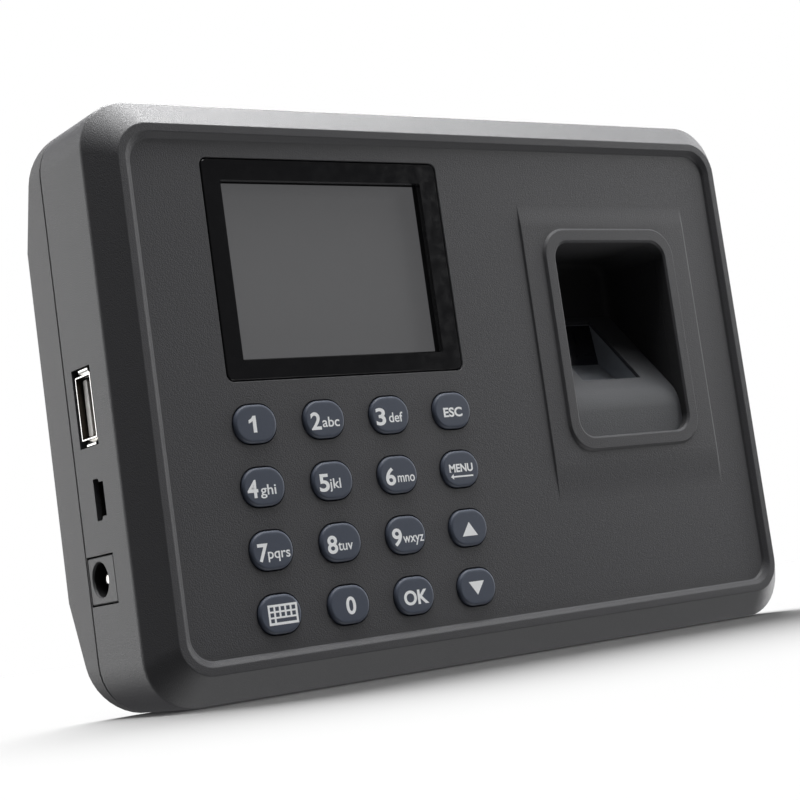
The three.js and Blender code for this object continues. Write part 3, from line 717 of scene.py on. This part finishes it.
def screen():
    """The window's black border and clear middle, and the display's face behind them."""
    middle, size = cad_middle("screen_window"), SCREEN_HIGH - SCREEN_LOW
    front, back = RECESS + 0.02, RECESS + size.y
    edge = rounded_rect(size.x, size.z, WINDOW_CORNER, 5)
    opening = rounded_rect(WINDOW["width"], WINDOW["height"], WINDOW["corner"], 5)
    piece = Piece()
    outer, outer_back = hole_walls(piece, edge, middle.x, middle.z, [
        (-HOLE_EDGE, front, 0), (0, front + HOLE_EDGE, 0.1), (0, back, 0)])
    hole, hole_back = piece.layers(opening, WINDOW["x"], WINDOW["z"], front, back)
    piece.bridge(hole, hole_back)
    piece.fill(outer, [hole])
    piece.fill(outer_back, [hole_back])
    piece.build("screen_border", [MASK_BLACK], "case", ["screen_window"])

    piece = Piece()
    clear = grown(opening, -0.02)
    piece.solid(piece.layers(clear, WINDOW["x"], WINDOW["z"], front + 0.25, back - 0.1))
    piece.build("screen_clear", [WINDOW_CLEAR], "case")

    face = cad_box("lcd_panel")[0].y - RIM_Y
    active = rounded_rect(DISPLAY["width"], DISPLAY["height"], DISPLAY["corner"], 2)
    piece = Piece()
    piece.solid(piece.layers(active, DISPLAY["x"], DISPLAY["z"], face - 0.12, face - 0.02))
    piece.build("lcd_active_area", [DISPLAY_GREY], "case")


# ---- keys and their legends ----


def key_cap(node):
    """A key's cap with its rounded face, its flange and its stem."""
    low, high = cad_box(node)
    centre = cad_middle(node)
    front, back = low.y - RIM_Y, high.y - RIM_Y
    flange = PANEL_BACK + GAP
    piece = Piece()
    face, end = hole_walls(piece, key_outline(node), centre.x, centre.z, [
        (-0.7, front, 0),
        (-0.36, front + 0.02, 0.2),
        (0, front + 0.32, 0.22),
        (0, flange, 0),
        (KEY_FLANGE, flange, 0),
        (KEY_FLANGE, flange + KEY_FLANGE_THICK, 0),
        (-KEY_STEM_INSET, flange + KEY_FLANGE_THICK, 0),
        (-KEY_STEM_INSET, back, 0),
    ])
    piece.fill(face)
    piece.fill(end)
    piece.build(f"{node}_cap", [KEY_PLASTIC], node, [node], sharp=50)


INK_HEIGHT = 0.03


def text_mesh(words, size, weight):
    curve = bpy.data.curves.new("ink", "FONT")
    curve.body = words
    curve.size = size * MM
    curve.align_x = "CENTER"
    curve.align_y = "BOTTOM_BASELINE"
    curve.offset = weight * MM
    curve.extrude = INK_HEIGHT / 2 * MM
    holder = bpy.data.objects.new("ink", curve)
    bpy.context.scene.collection.objects.link(holder)
    bpy.context.view_layer.update()
    graph = bpy.context.evaluated_depsgraph_get()
    mesh = bpy.data.meshes.new_from_object(holder.evaluated_get(graph))
    bpy.data.objects.remove(holder)
    return mesh


def printed(node, writings, drawings):
    """Ink on a key. Writings are (words, size, weight, x, z, width); drawings are outlines."""
    centre, front = cad_middle(node), cad_box(node)[0].y - RIM_Y
    piece = Piece()
    for words, size, weight, x, z, width in writings:
        mesh = text_mesh(words, size, weight)
        spans = [vertex.co.x for vertex in mesh.vertices]
        scale = width * MM / (max(spans) - min(spans))
        middle = (max(spans) + min(spans)) / 2
        place = Matrix.Translation(at(centre.x + x, front, centre.z + z))
        turn = Matrix.Rotation(math.pi / 2, 4, "X")
        shape = Matrix.Diagonal((scale, 1, 1, 1)) @ Matrix.Translation((-middle, 0, 0))
        mesh.transform(place @ turn @ shape)
        piece.mesh.from_mesh(mesh)
    for outline, holes in drawings:
        faces = []
        for depth in (front - INK_HEIGHT / 2, front + INK_HEIGHT / 2):
            rings = [piece.loop(plate(ring, centre.x, centre.z, depth))
                     for ring in (outline, *holes)]
            piece.fill(rings[0], rings[1:])
            faces.append(rings)
        for near, far in zip(*faces):
            piece.bridge(near, far)
    piece.build(f"{node}_legend", [INK], node, sharp=30)


def lettered(digit, letters, start, width, digit_x=-2.25):
    """A digit and its letters, which begin `start` to the right of the key's middle."""
    digit_size, digit_weight, digit_foot, digit_width = 4.9, 0.11, -2.0, 2.4
    size, weight, foot = 2.9, 0.03, -1.6
    return [
        (digit, digit_size, digit_weight, digit_x, digit_foot, digit_width),
        (letters, size, weight, start + width / 2, foot, width),
    ], []


def keyboard_drawing():
    """A little keyboard: a frame with two rows of five keys, and a short and a long key."""
    left, right, bottom, top = -2.9, 3.8, -2.05, 1.95
    border, pitch, key, tall = 0.44, 1.24, 0.82, 0.8
    rows, last_row, last_tall = (1.5, 0.35), -0.8, 0.75
    holes = []
    for row in rows:
        for column in range(5):
            x = left + border + column * pitch
            holes.append(rectangle(x, x + key, row - tall, row))
    foot = last_row - last_tall
    holes.append(rectangle(left + border, left + border + key, foot, last_row))
    holes.append(rectangle(left + border + pitch, right - border, foot, last_row))
    return [(rectangle(left, right, bottom, top), holes)]


def arrow_drawing():
    """A thin arrow to the left."""
    tip, neck, end, height = -2.95, -2.2, 2.95, -1.6
    shaft, head = 0.17, 0.55
    return [([(tip, height), (neck, height - head), (neck, height - shaft), (end, height - shaft),
              (end, height + shaft), (neck, height + shaft), (neck, height + head)], [])]


# The digit 1 as an outline: its stem and its flag.
ONE_DRAWING = [([
    (-0.8, -1.75), (0.0, -1.75), (0.0, 1.6), (-0.65, 1.6), (-1.05, 1.1), (-1.7, 0.75),
    (-1.7, 0.1), (-1.25, 0.25), (-0.8, 0.55),
], [])]

# What is printed on each key: its writings and its drawings.
LEGENDS = {
    "key_1": ([], ONE_DRAWING),
    "key_2": lettered("2", "abc", -0.75, 4.1),
    "key_3": lettered("3", "def", -0.5, 3.5, -2.5),
    "key_4": lettered("4", "ghi", -1.05, 3.6, -2.75),
    "key_5": lettered("5", "jkl", -1.05, 2.75),
    "key_6": lettered("6", "mno", -0.4, 4.3, -2.1),
    "key_7": lettered("7", "pqrs", -1.25, 5.1),
    "key_8": lettered("8", "tuv", -0.95, 3.5),
    "key_9": lettered("9", "wxyz", -1.15, 5.2, -2.55),
    "key_0": ([("0", 4.8, 0.11, 0.2, -1.85, 2.3)], []),
    "key_escape": ([("ESC", 2.7, 0.08, -0.05, -1.3, 4.9)], []),
    "key_menu": ([("MENU", 2.35, 0.07, 0, -0.6, 6.2)], arrow_drawing()),
    "key_ok": ([("OK", 4.0, 0.12, 0.1, -1.75, 6.1)], []),
    "key_up": ([], [([(-2.05, -1.75), (1.95, -1.75), (-0.05, 1.2)], [])]),
    "key_down": ([], [([(-0.25, -1.65), (1.75, 1.2), (-2.25, 1.2)], [])]),
    "key_input": ([], keyboard_drawing()),
}


def keys():
    for node in KEY_NODES:
        key_cap(node)
        printed(node, *LEGENDS[node])


# ---- finger pocket and sensor ----

RAMP_ANGLE = math.radians(48)
RAMP_THICK = 0.9
CREST_Z = 54.1
CREST_ROUNDING = 3.2
SILL_DEPTH = 2.0
SILL_THICK = 2.5
SENSOR_FROM, SENSOR_TO = 6.2, 28.2  # the window's ends, measured along the ramp
SENSOR_WIDTH = 17.8
HOUSING_WALL = 1.5
HOUSING_DEEP = 11.5
GUIDE_WALL = 1.6


def ramp(along, under):
    """A (depth, z) point on the ramp, `along` it from its crest and `under` its face."""
    depth = SILL_DEPTH + along * math.cos(RAMP_ANGLE) + under * math.sin(RAMP_ANGLE)
    z = CREST_Z + along * math.sin(RAMP_ANGLE) - under * math.cos(RAMP_ANGLE)
    return depth, z


def finger_well():
    """The pocket's four walls and its back, rounded like its mouth, in the darker well material as
    painted shade.
    """
    width, height, radius = POCKET_SIZE
    piece = Piece()
    loops = []
    front = PANEL_BACK + 0.05
    for growth, depth in soften([
        (GUIDE_WALL, POCKET_DEPTH + GUIDE_WALL, 0),
        (GUIDE_WALL, front, 0),
        (0, front, 0),
        (0, POCKET_DEPTH, 2.5),
        (-4, POCKET_DEPTH, 0),
    ]):
        outline = rounded_rect(width + 2 * growth, height + 2 * growth, radius + growth * 0.3)
        loops += piece.layers(outline, POCKET_X, POCKET_Z, depth)
    piece.solid(loops)
    piece.build("finger_well", [WELL_SHADE_PLASTIC], "case", ["finger_guide"])


def finger_ramp():
    """The sill, its rounded crest and the ramp, with the sensor's window."""
    width, height, _ = POCKET_SIZE
    side_gap, side_bevel = 0.3, 0.35
    bottom = POCKET_Z - height / 2 + 0.05
    end = (POCKET_DEPTH - 0.4 - SILL_DEPTH) / math.cos(RAMP_ANGLE)
    crest = soften([
        (SILL_DEPTH, bottom, 0), (*ramp(0, 0), CREST_ROUNDING), (*ramp(SENSOR_FROM, 0), 0)])
    top_end = ramp(end, 0)
    profile = crest[:-1] + [ramp(SENSOR_FROM, 0), ramp(SENSOR_TO, 0), top_end]
    inside = SILL_DEPTH + SILL_THICK
    under = [(top_end[0], top_end[1] - 3), ramp(SENSOR_TO, RAMP_THICK),
             ramp(SENSOR_FROM, RAMP_THICK), (inside, CREST_Z - 4), (inside, bottom)]
    half = width / 2 - side_gap
    x_left, x_right = POCKET_X - half, POCKET_X + half
    w_left, w_right = POCKET_X - SENSOR_WIDTH / 2, POCKET_X + SENSOR_WIDTH / 2
    columns = [x_left + side_bevel, w_left, w_right, x_right - side_bevel]
    piece = Piece()
    rows = [piece.loop([at(x, depth, z) for x in columns]) for depth, z in profile]
    window = len(crest) - 1
    floor = [piece.loop([at(x, depth, z) for x in columns]) for depth, z in under]
    for lines, hole_row in ((rows, window), (floor, 1), ([rows[-1], floor[0]], None),
                            ([floor[-1], rows[0]], None)):
        for i, (a, b) in enumerate(zip(lines, lines[1:])):
            for j in range(3):
                if (i, j) != (hole_row, 1):
                    piece.face((a[j], a[j + 1], b[j + 1], b[j]))
    top = [rows[window][1], rows[window][2], rows[window + 1][2], rows[window + 1][1]]
    low = [floor[2][1], floor[2][2], floor[1][2], floor[1][1]]
    piece.bridge(top, low)
    for column, x in ((0, x_left), (3, x_right)):
        border = [row[column] for row in rows + floor]
        middle = sum((vertex.co for vertex in border), Vector()) / len(border)
        outer = []
        for vertex in border:
            pulled = vertex.co.lerp(middle, 0.012)
            outer.append(Vector((x * MM, pulled.y, pulled.z)))
        cheek = piece.loop(outer)
        piece.bridge(border, cheek)
        piece.fill(cheek)
    piece.build("finger_ramp", [GUIDE_PLASTIC_PAINTED_LIGHT], "case", sharp=40)


def sensor():
    """The sensor's dark chamber, its upright black pane, and its cover glass."""
    left, right = POCKET_X - SENSOR_WIDTH / 2 + 0.02, POCKET_X + SENSOR_WIDTH / 2 - 0.02
    top = RAMP_THICK + 0.05
    chamber = [
        ramp(SENSOR_FROM + 0.35, top),
        ramp(SENSOR_FROM + 0.8, 5.0),
        ramp(19.7, 6.6),
        ramp(SENSOR_TO - 0.3, top),
    ]
    shell = [
        ramp(SENSOR_TO + 0.4, top),
        ramp(SENSOR_TO + 0.4, HOUSING_DEEP),
        ramp(SENSOR_FROM - HOUSING_WALL, HOUSING_DEEP),
        ramp(SENSOR_FROM - HOUSING_WALL, top),
    ]
    piece = Piece()
    inner = [piece.loop(ring) for ring in slab(chamber, left, right)]
    outer = [piece.loop(ring) for ring in slab(shell, left - HOUSING_WALL, right + HOUSING_WALL)]
    for i in range(3):
        piece.paint = 1 if i == 2 else 0
        piece.face((inner[0][i], inner[0][i + 1], inner[1][i + 1], inner[1][i]))
    piece.paint = 0
    for side in (0, 1):
        piece.face(inner[side])
        piece.face(outer[side])
    for i in range(3):
        piece.face((outer[0][i], outer[0][i + 1], outer[1][i + 1], outer[1][i]))
    mouth = [inner[0][0], inner[1][0], inner[1][3], inner[0][3]]
    rim = [outer[0][3], outer[1][3], outer[1][0], outer[0][0]]
    piece.bridge(mouth, rim)
    piece.build("sensor_housing", [SENSOR_HOUSING, SENSOR_BLACK], "case",
                ["sensor_body"], sharp=20)
    piece = Piece()
    inset, face, back = 0.2, 0.3, 0.85
    ring = [ramp(SENSOR_FROM + inset, face), ramp(SENSOR_TO - inset, face),
            ramp(SENSOR_TO - inset, back), ramp(SENSOR_FROM + inset, back)]
    near, far = [piece.loop(side) for side in slab(ring, left + inset, right - inset)]
    piece.bridge(near, far)
    piece.face(near)
    piece.face(far)
    piece.build("sensor_cover_glass", [SENSOR_CLEAR], "case", ["sensor_glass"])


# ---- sockets ----

FLAP_THICK = 0.35
USB_INSET = 0.5  # the shell's mouth inside its hole, at its long sides
USB_END = 0.75  # and further in at its ends, where its lips are
CONTACT = {"pitch": 2.4, "height": 1.1, "thick": 0.24, "front": 1.2, "back": 1}
POWER = {"bore": 3.4, "deep": 9, "collar": 1.3}
PIN_RADIUS = 1.0


def across(outline, middle, x):
    """An outline in Y and Z, placed around a middle at one X position."""
    return [at(x, middle.y - RIM_Y + py, middle.z + pz) for py, pz in outline]


def socket_tube(piece, node, inset, mouth, wall, corner, end=0.0):
    """A sheet-metal tube that starts `mouth` inside the wall, with painted shade on its inside:
    its inner faces take the second, darker material.
    """
    low, high = cad_box(node)
    tall, deep = high.z - low.z - 2 * end, high.y - low.y
    loops = []
    for less, x in (
        (inset, high.x),
        (inset, low.x + mouth),
        (inset + wall, low.x + mouth),
        (inset + wall, high.x - 2.5),
    ):
        outline = rounded_rect(deep - 2 * less, tall - 2 * less, max(corner - less, 0.2), 4)
        loops.append(piece.loop(across(outline, cad_middle(node), x)))
    piece.tube(loops[:3])
    piece.fill(loops[0])
    # Painted shade: the tube's inside, from the mouth back, takes the darker material.
    piece.paint = 1
    piece.tube(loops[2:])
    piece.fill(loops[-1])
    piece.paint = 0


def socket_flap(piece, node, normal, inset, mouth, short):
    """One flared lip of a socket, from the tube's mouth out to the hole's edge."""
    low, high = cad_box(node)
    middle, half = cad_middle(node), (high - low) / 2
    reach = half.y if normal[0] else half.z
    span = (half.z if normal[0] else half.y) - short

    def corner(x, out, side):
        depth = middle.y - RIM_Y + normal[0] * out + normal[1] * side
        return at(x, depth, middle.z + normal[1] * out + normal[0] * side)

    loops = []
    for less in (0, FLAP_THICK):
        inner, outer = reach - inset - less, reach - less
        loops.append(piece.loop([
            corner(low.x + mouth, inner, -span),
            corner(low.x + mouth, inner, span),
            corner(low.x + 0.1, outer, span * 0.94),
            corner(low.x + 0.1, outer, -span * 0.94),
        ]))
    piece.bridge(*loops)
    piece.face(loops[0])
    piece.face(loops[1])


def usb_shell():
    piece = Piece()
    socket_tube(piece, "usb_a_shell", USB_INSET, mouth=-0.15, wall=0.24, corner=0.8, end=USB_END)
    for normal in ((0, 1), (0, -1)):
        socket_flap(piece, "usb_a_shell", normal, USB_INSET + USB_END, mouth=1.0, short=1.7)
    piece.build("usb_shell", [NICKEL, DARK_STEEL_AND_SHADE], "case", ["usb_a_shell"], sharp=30)


def mini_usb_can():
    piece = Piece()
    socket_tube(piece, "mini_usb_shell", 0.1, mouth=0.7, wall=0.3, corner=0.5)
    piece.build("mini_usb_can", [DARK_STEEL_AND_SHADE, SOCKET_BLACK_AND_SHADE], "case", ["mini_usb_shell"])


def block(name, node, material, soften_by):
    """A moulded block with rounded edges, lying along X."""
    low, high = cad_box(node)
    outline = rounded_rect(high.y - low.y, high.z - low.z, soften_by * 2, 4)
    piece = Piece()
    loops = []
    for inset, x in soften([
        (soften_by * 2, low.x, 0),
        (0, low.x, soften_by),
        (0, high.x, 0),
    ]):
        loops.append(piece.loop(across(grown(outline, -inset), cad_middle(node), x)))
    piece.solid(loops)
    piece.build(name, [material], "case", [node])


def usb_contacts():
    """Four gilt strips along the tongue."""
    low, high = cad_box("usb_a_tongue")
    outline = rounded_rect(CONTACT["thick"], CONTACT["height"], 0.1, 2)
    for number in range(4):
        middle = Vector((0, high.y, (low.z + high.z) / 2 + (number - 1.5) * CONTACT["pitch"]))
        piece = Piece()
        ends = (low.x + CONTACT["front"], high.x - CONTACT["back"])
        piece.solid([piece.loop(across(outline, middle, x)) for x in ends])
        piece.build(f"usb_contact_{number + 1}", [GOLD], "case")


def power_socket():
    """The round socket's square body with its bore, and the pin inside."""
    low, high = cad_box("dc_jack_body")
    middle = cad_middle("dc_jack_body")
    pin_low, pin_high = cad_box("dc_jack_pin")
    pin_middle = cad_middle("dc_jack_pin")
    face = rounded_rect(high.y - low.y, high.z - low.z, 0.35, 4)
    piece = Piece()
    back = piece.loop(across(face, middle, high.x))
    side = piece.loop(across(face, middle, low.x + 0.2))
    front = piece.loop(across(grown(face, -0.2), middle, low.x))
    hole = [piece.loop(across(circle(radius), pin_middle, x)) for radius, x in soften([
        (POWER["bore"] + 0.25, low.x, 0),
        (POWER["bore"], low.x + 0.25, 0.2),
        (POWER["bore"], low.x + POWER["deep"], 0.4),
        (POWER["collar"], low.x + POWER["deep"], 0),
    ])]
    piece.tube([back, side, front])
    piece.fill(back)
    piece.fill(front, [hole[0]])
    piece.tube(hole[:6])
    # Painted shade: the bore's deeper part and its floor take the black material.
    piece.paint = 1
    piece.tube(hole[5:])
    piece.fill(hole[-1])
    piece.build("power_socket", [SOCKET_GREY, SOCKET_BLACK_AND_SHADE], "case", ["dc_jack_body"])
    piece = Piece()
    piece.solid([piece.loop(across(circle(radius, 20), pin_middle, x)) for radius, x in soften([
        (0.45, pin_low.x, 0),
        (PIN_RADIUS, pin_low.x, 0.4),
        (PIN_RADIUS, pin_high.x, 0),
    ])])
    piece.build("power_pin", [NICKEL], "case", ["dc_jack_pin"])


def sockets():
    usb_shell()
    block("usb_tongue", "usb_a_tongue", IVORY, 0.25)
    usb_contacts()
    mini_usb_can()
    block("mini_usb_core", "mini_usb_tongue", SOCKET_BLACK_AND_SHADE, 0.15)
    power_socket()


# ---- screws ----


CROSS_DEPTH = 0.9
SCREW_TIP = 1.2
SCREW_SHAPES = {"case": (1.8, 1.3), "board": (1.5, 1.0)}  # head's height, shank's radius


def screws():
    """Pan heads with a cross recess, on plain shanks."""
    for node in sorted(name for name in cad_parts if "_screw_" in name):
        low, high = cad_box(node)
        middle, radius = cad_middle(node), (high.x - low.x) / 2
        top, head = high.y - RIM_Y, high.y - low.y
        thick, shank = SCREW_SHAPES[node.split("_")[0]]
        piece = Piece()
        loops = []
        for r, depth in soften([
            (shank * 0.3, top - head, 0),
            (shank, top - head + SCREW_TIP, 0),
            (shank, top - thick, 0),
            (radius, top - thick, 0),
            (radius, top - 0.4, 0.4),
            (radius * 0.7, top, 0),
        ]):
            loops += piece.layers(circle(r, 28), middle.x, middle.z, depth)
        arm, half = radius * 0.55, radius * 0.13
        cross = [(arm, -half), (arm, half), (half, half), (half, arm), (-half, arm), (-half, half),
                 (-arm, half), (-arm, -half), (-half, -half), (-half, -arm), (half, -arm),
                 (half, -half)]
        mouth = piece.loop(plate(cross, middle.x, middle.z, top))
        small = [(x * 0.7, z * 0.7) for x, z in cross]
        floor = piece.loop(plate(small, middle.x, middle.z, top - CROSS_DEPTH))
        piece.tube(loops)
        piece.fill(loops[0])
        piece.fill(loops[-1], [mouth])
        piece.bridge(mouth, floor)
        piece.fill(floor)
        piece.build(f"{node}_turned", [ZINC], "case", [node])


# ---- CAD nodes that stay ----

KEPT_NODES = {
    "lcd_panel": DISPLAY_EDGE,
    "lcd_frame": TIN,
    "lcd_ribbon": RIBBON,
    "keypad_sheet": RUBBER,
    "main_board": BOARD_GREEN,
    "sensor_board": BOARD_GREEN,
    "processor_chip": CHIP_BLACK,
    "memory_chip": CHIP_BLACK,
    "cell_holder": CHIP_BLACK,
    "clock_cell": TIN,
    "speaker_frame": TIN,
    "speaker_cone": RUBBER,
}


def paint_kept_nodes():
    for node, material in KEPT_NODES.items():
        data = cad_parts[node].data
        data.materials.clear()
        data.materials.append(material)


# ---- stage, light and camera ----

CAMERA_PLACE = (-0.2443, -0.3307, 0.0144)
CAMERA_AZIMUTH = math.radians(36.07)
CAMERA_RISE = math.radians(6.24)
CAMERA_ROLL = math.radians(-8.04)
CAMERA_LENS = 83.54
CAMERA_SHIFT = (-0.026, -0.0054)
FLOOR_SIZE = (2.4, 1.8, 1)
FLOOR_PLACE = (0.38, 0.22, -0.0001)
FLOOR_COLOR = (0.5, 0.5, 0.5)
FILL = 0.07  # how strongly the sky lights the object


def camera():
    data = bpy.data.cameras.new("camera")
    data.lens = CAMERA_LENS
    data.sensor_width = 36
    data.shift_x, data.shift_y = CAMERA_SHIFT
    data.clip_start = 0.01
    data.clip_end = 100
    eye = bpy.data.objects.new("camera", data)
    turn = Matrix.Rotation(-CAMERA_AZIMUTH, 4, "Z")
    turn @= Matrix.Rotation(math.pi / 2 + CAMERA_RISE, 4, "X")
    turn @= Matrix.Rotation(CAMERA_ROLL, 4, "Z")
    eye.matrix_world = Matrix.Translation(CAMERA_PLACE) @ turn
    bpy.context.scene.collection.objects.link(eye)
    bpy.context.scene.camera = eye


def floor():
    """A white sheet under the object. Past its edges the white sky takes over."""
    bpy.ops.mesh.primitive_plane_add(size=1, location=FLOOR_PLACE)
    ground = bpy.context.object
    ground.name = "floor"
    ground.scale = FLOOR_SIZE
    ground.data.materials.append(new_material("floor_white", FLOOR_COLOR, 0.9, specular=0.1))
    ground.visible_shadow = False
    ground.visible_diffuse = False
    ground.visible_glossy = False
    return ground


def hang(data, towards):
    """A lamp that shines from a direction."""
    lamp = bpy.data.objects.new(data.name, data)
    lamp.rotation_mode = "QUATERNION"
    lamp.rotation_quaternion = towards.to_track_quat("Z", "Y")
    bpy.context.scene.collection.objects.link(lamp)
    return lamp


def soft_sun(name, towards, brightness, angle):
    """A round patch of sky of one brightness, `angle` degrees across."""
    data = bpy.data.lights.new(name, "SUN")
    data.energy = brightness * math.pi * math.sin(math.radians(angle / 2)) ** 2
    data.angle = math.radians(angle)
    return hang(data, Vector(towards))


def soft_box(name, place, size, power):
    """A square lamp that faces the object."""
    data = bpy.data.lights.new(name, "AREA")
    data.energy = power
    data.size = size
    lamp = hang(data, Vector(place) - at(0, 0, MID_Z))
    lamp.location = place
    lamp.visible_camera = False
    return lamp


def sky():
    """White to the camera, and a dim even fill as light."""
    world = bpy.data.worlds.new("studio")
    bpy.context.scene.world = world
    world.use_nodes = True
    tree = world.node_tree
    tree.nodes.clear()
    output = tree.nodes.new("ShaderNodeOutputWorld")
    seen = tree.nodes.new("ShaderNodeBackground")
    lit = tree.nodes.new("ShaderNodeBackground")
    mix = tree.nodes.new("ShaderNodeMixShader")
    rays = tree.nodes.new("ShaderNodeLightPath")
    seen.inputs["Color"].default_value = (1, 1, 1, 1)
    lit.inputs["Color"].default_value = (1, 1, 1, 1)
    lit.inputs["Strength"].default_value = FILL
    tree.links.new(rays.outputs["Is Camera Ray"], mix.inputs["Fac"])
    tree.links.new(lit.outputs["Background"], mix.inputs[1])
    tree.links.new(seen.outputs["Background"], mix.inputs[2])
    tree.links.new(mix.outputs["Shader"], output.inputs["Surface"])


def share_out(lamps, ground, state):
    """Keeps lamps off the floor ("EXCLUDE") or for the floor alone ("INCLUDE")."""
    receivers = bpy.data.collections.new(f"floor_{state.lower()}")
    receivers.objects.link(ground)
    receivers.collection_objects[0].light_linking.link_state = state
    for lamp in lamps:
        lamp.light_linking.receiver_collection = receivers


def studio():
    ground = floor()
    sky()
    object_lights = [
        soft_sun("overhead", (0.3, 0.47, 0.83), 15.5, 36),
        soft_sun("front_top", (0.2, -0.17, 0.96), 6.0, 50),
        soft_sun("top_edge", (0.76, 0.3, 0.56), 3.0, 36),
        soft_sun("zenith", (-0.17, -0.06, 0.98), 10.0, 34),
        soft_sun("left_rear", (-0.52, 0.84, 0.12), 2.5, 60),
        soft_sun("from_below", (0.2, -0.16, -0.97), 2.6, 50),
        soft_sun("right_edge", (0.98, -0.1, 0.12), 6.0, 26),
        soft_sun("right_low", (0.9, 0.3, -0.25), 4.0, 30),
        soft_box("right_front", (0.58, -0.42, 0.3), 0.4, 1.75),
    ]
    share_out(object_lights, ground, "EXCLUDE")
    floor_lights = [
        soft_sun("floor_light", (0.1, 0.5, 0.86), 16, 40),
        soft_sun("floor_glow", (0, 0, 1), 0.35, 150),
    ]
    share_out(floor_lights, ground, "INCLUDE")
    bpy.context.scene.view_settings.view_transform = "Standard"


camera()
studio()
front_cover()
rear_cover()
screen()
keys()
finger_well()
finger_ramp()
sensor()
sockets()
screws()
paint_kept_nodes()
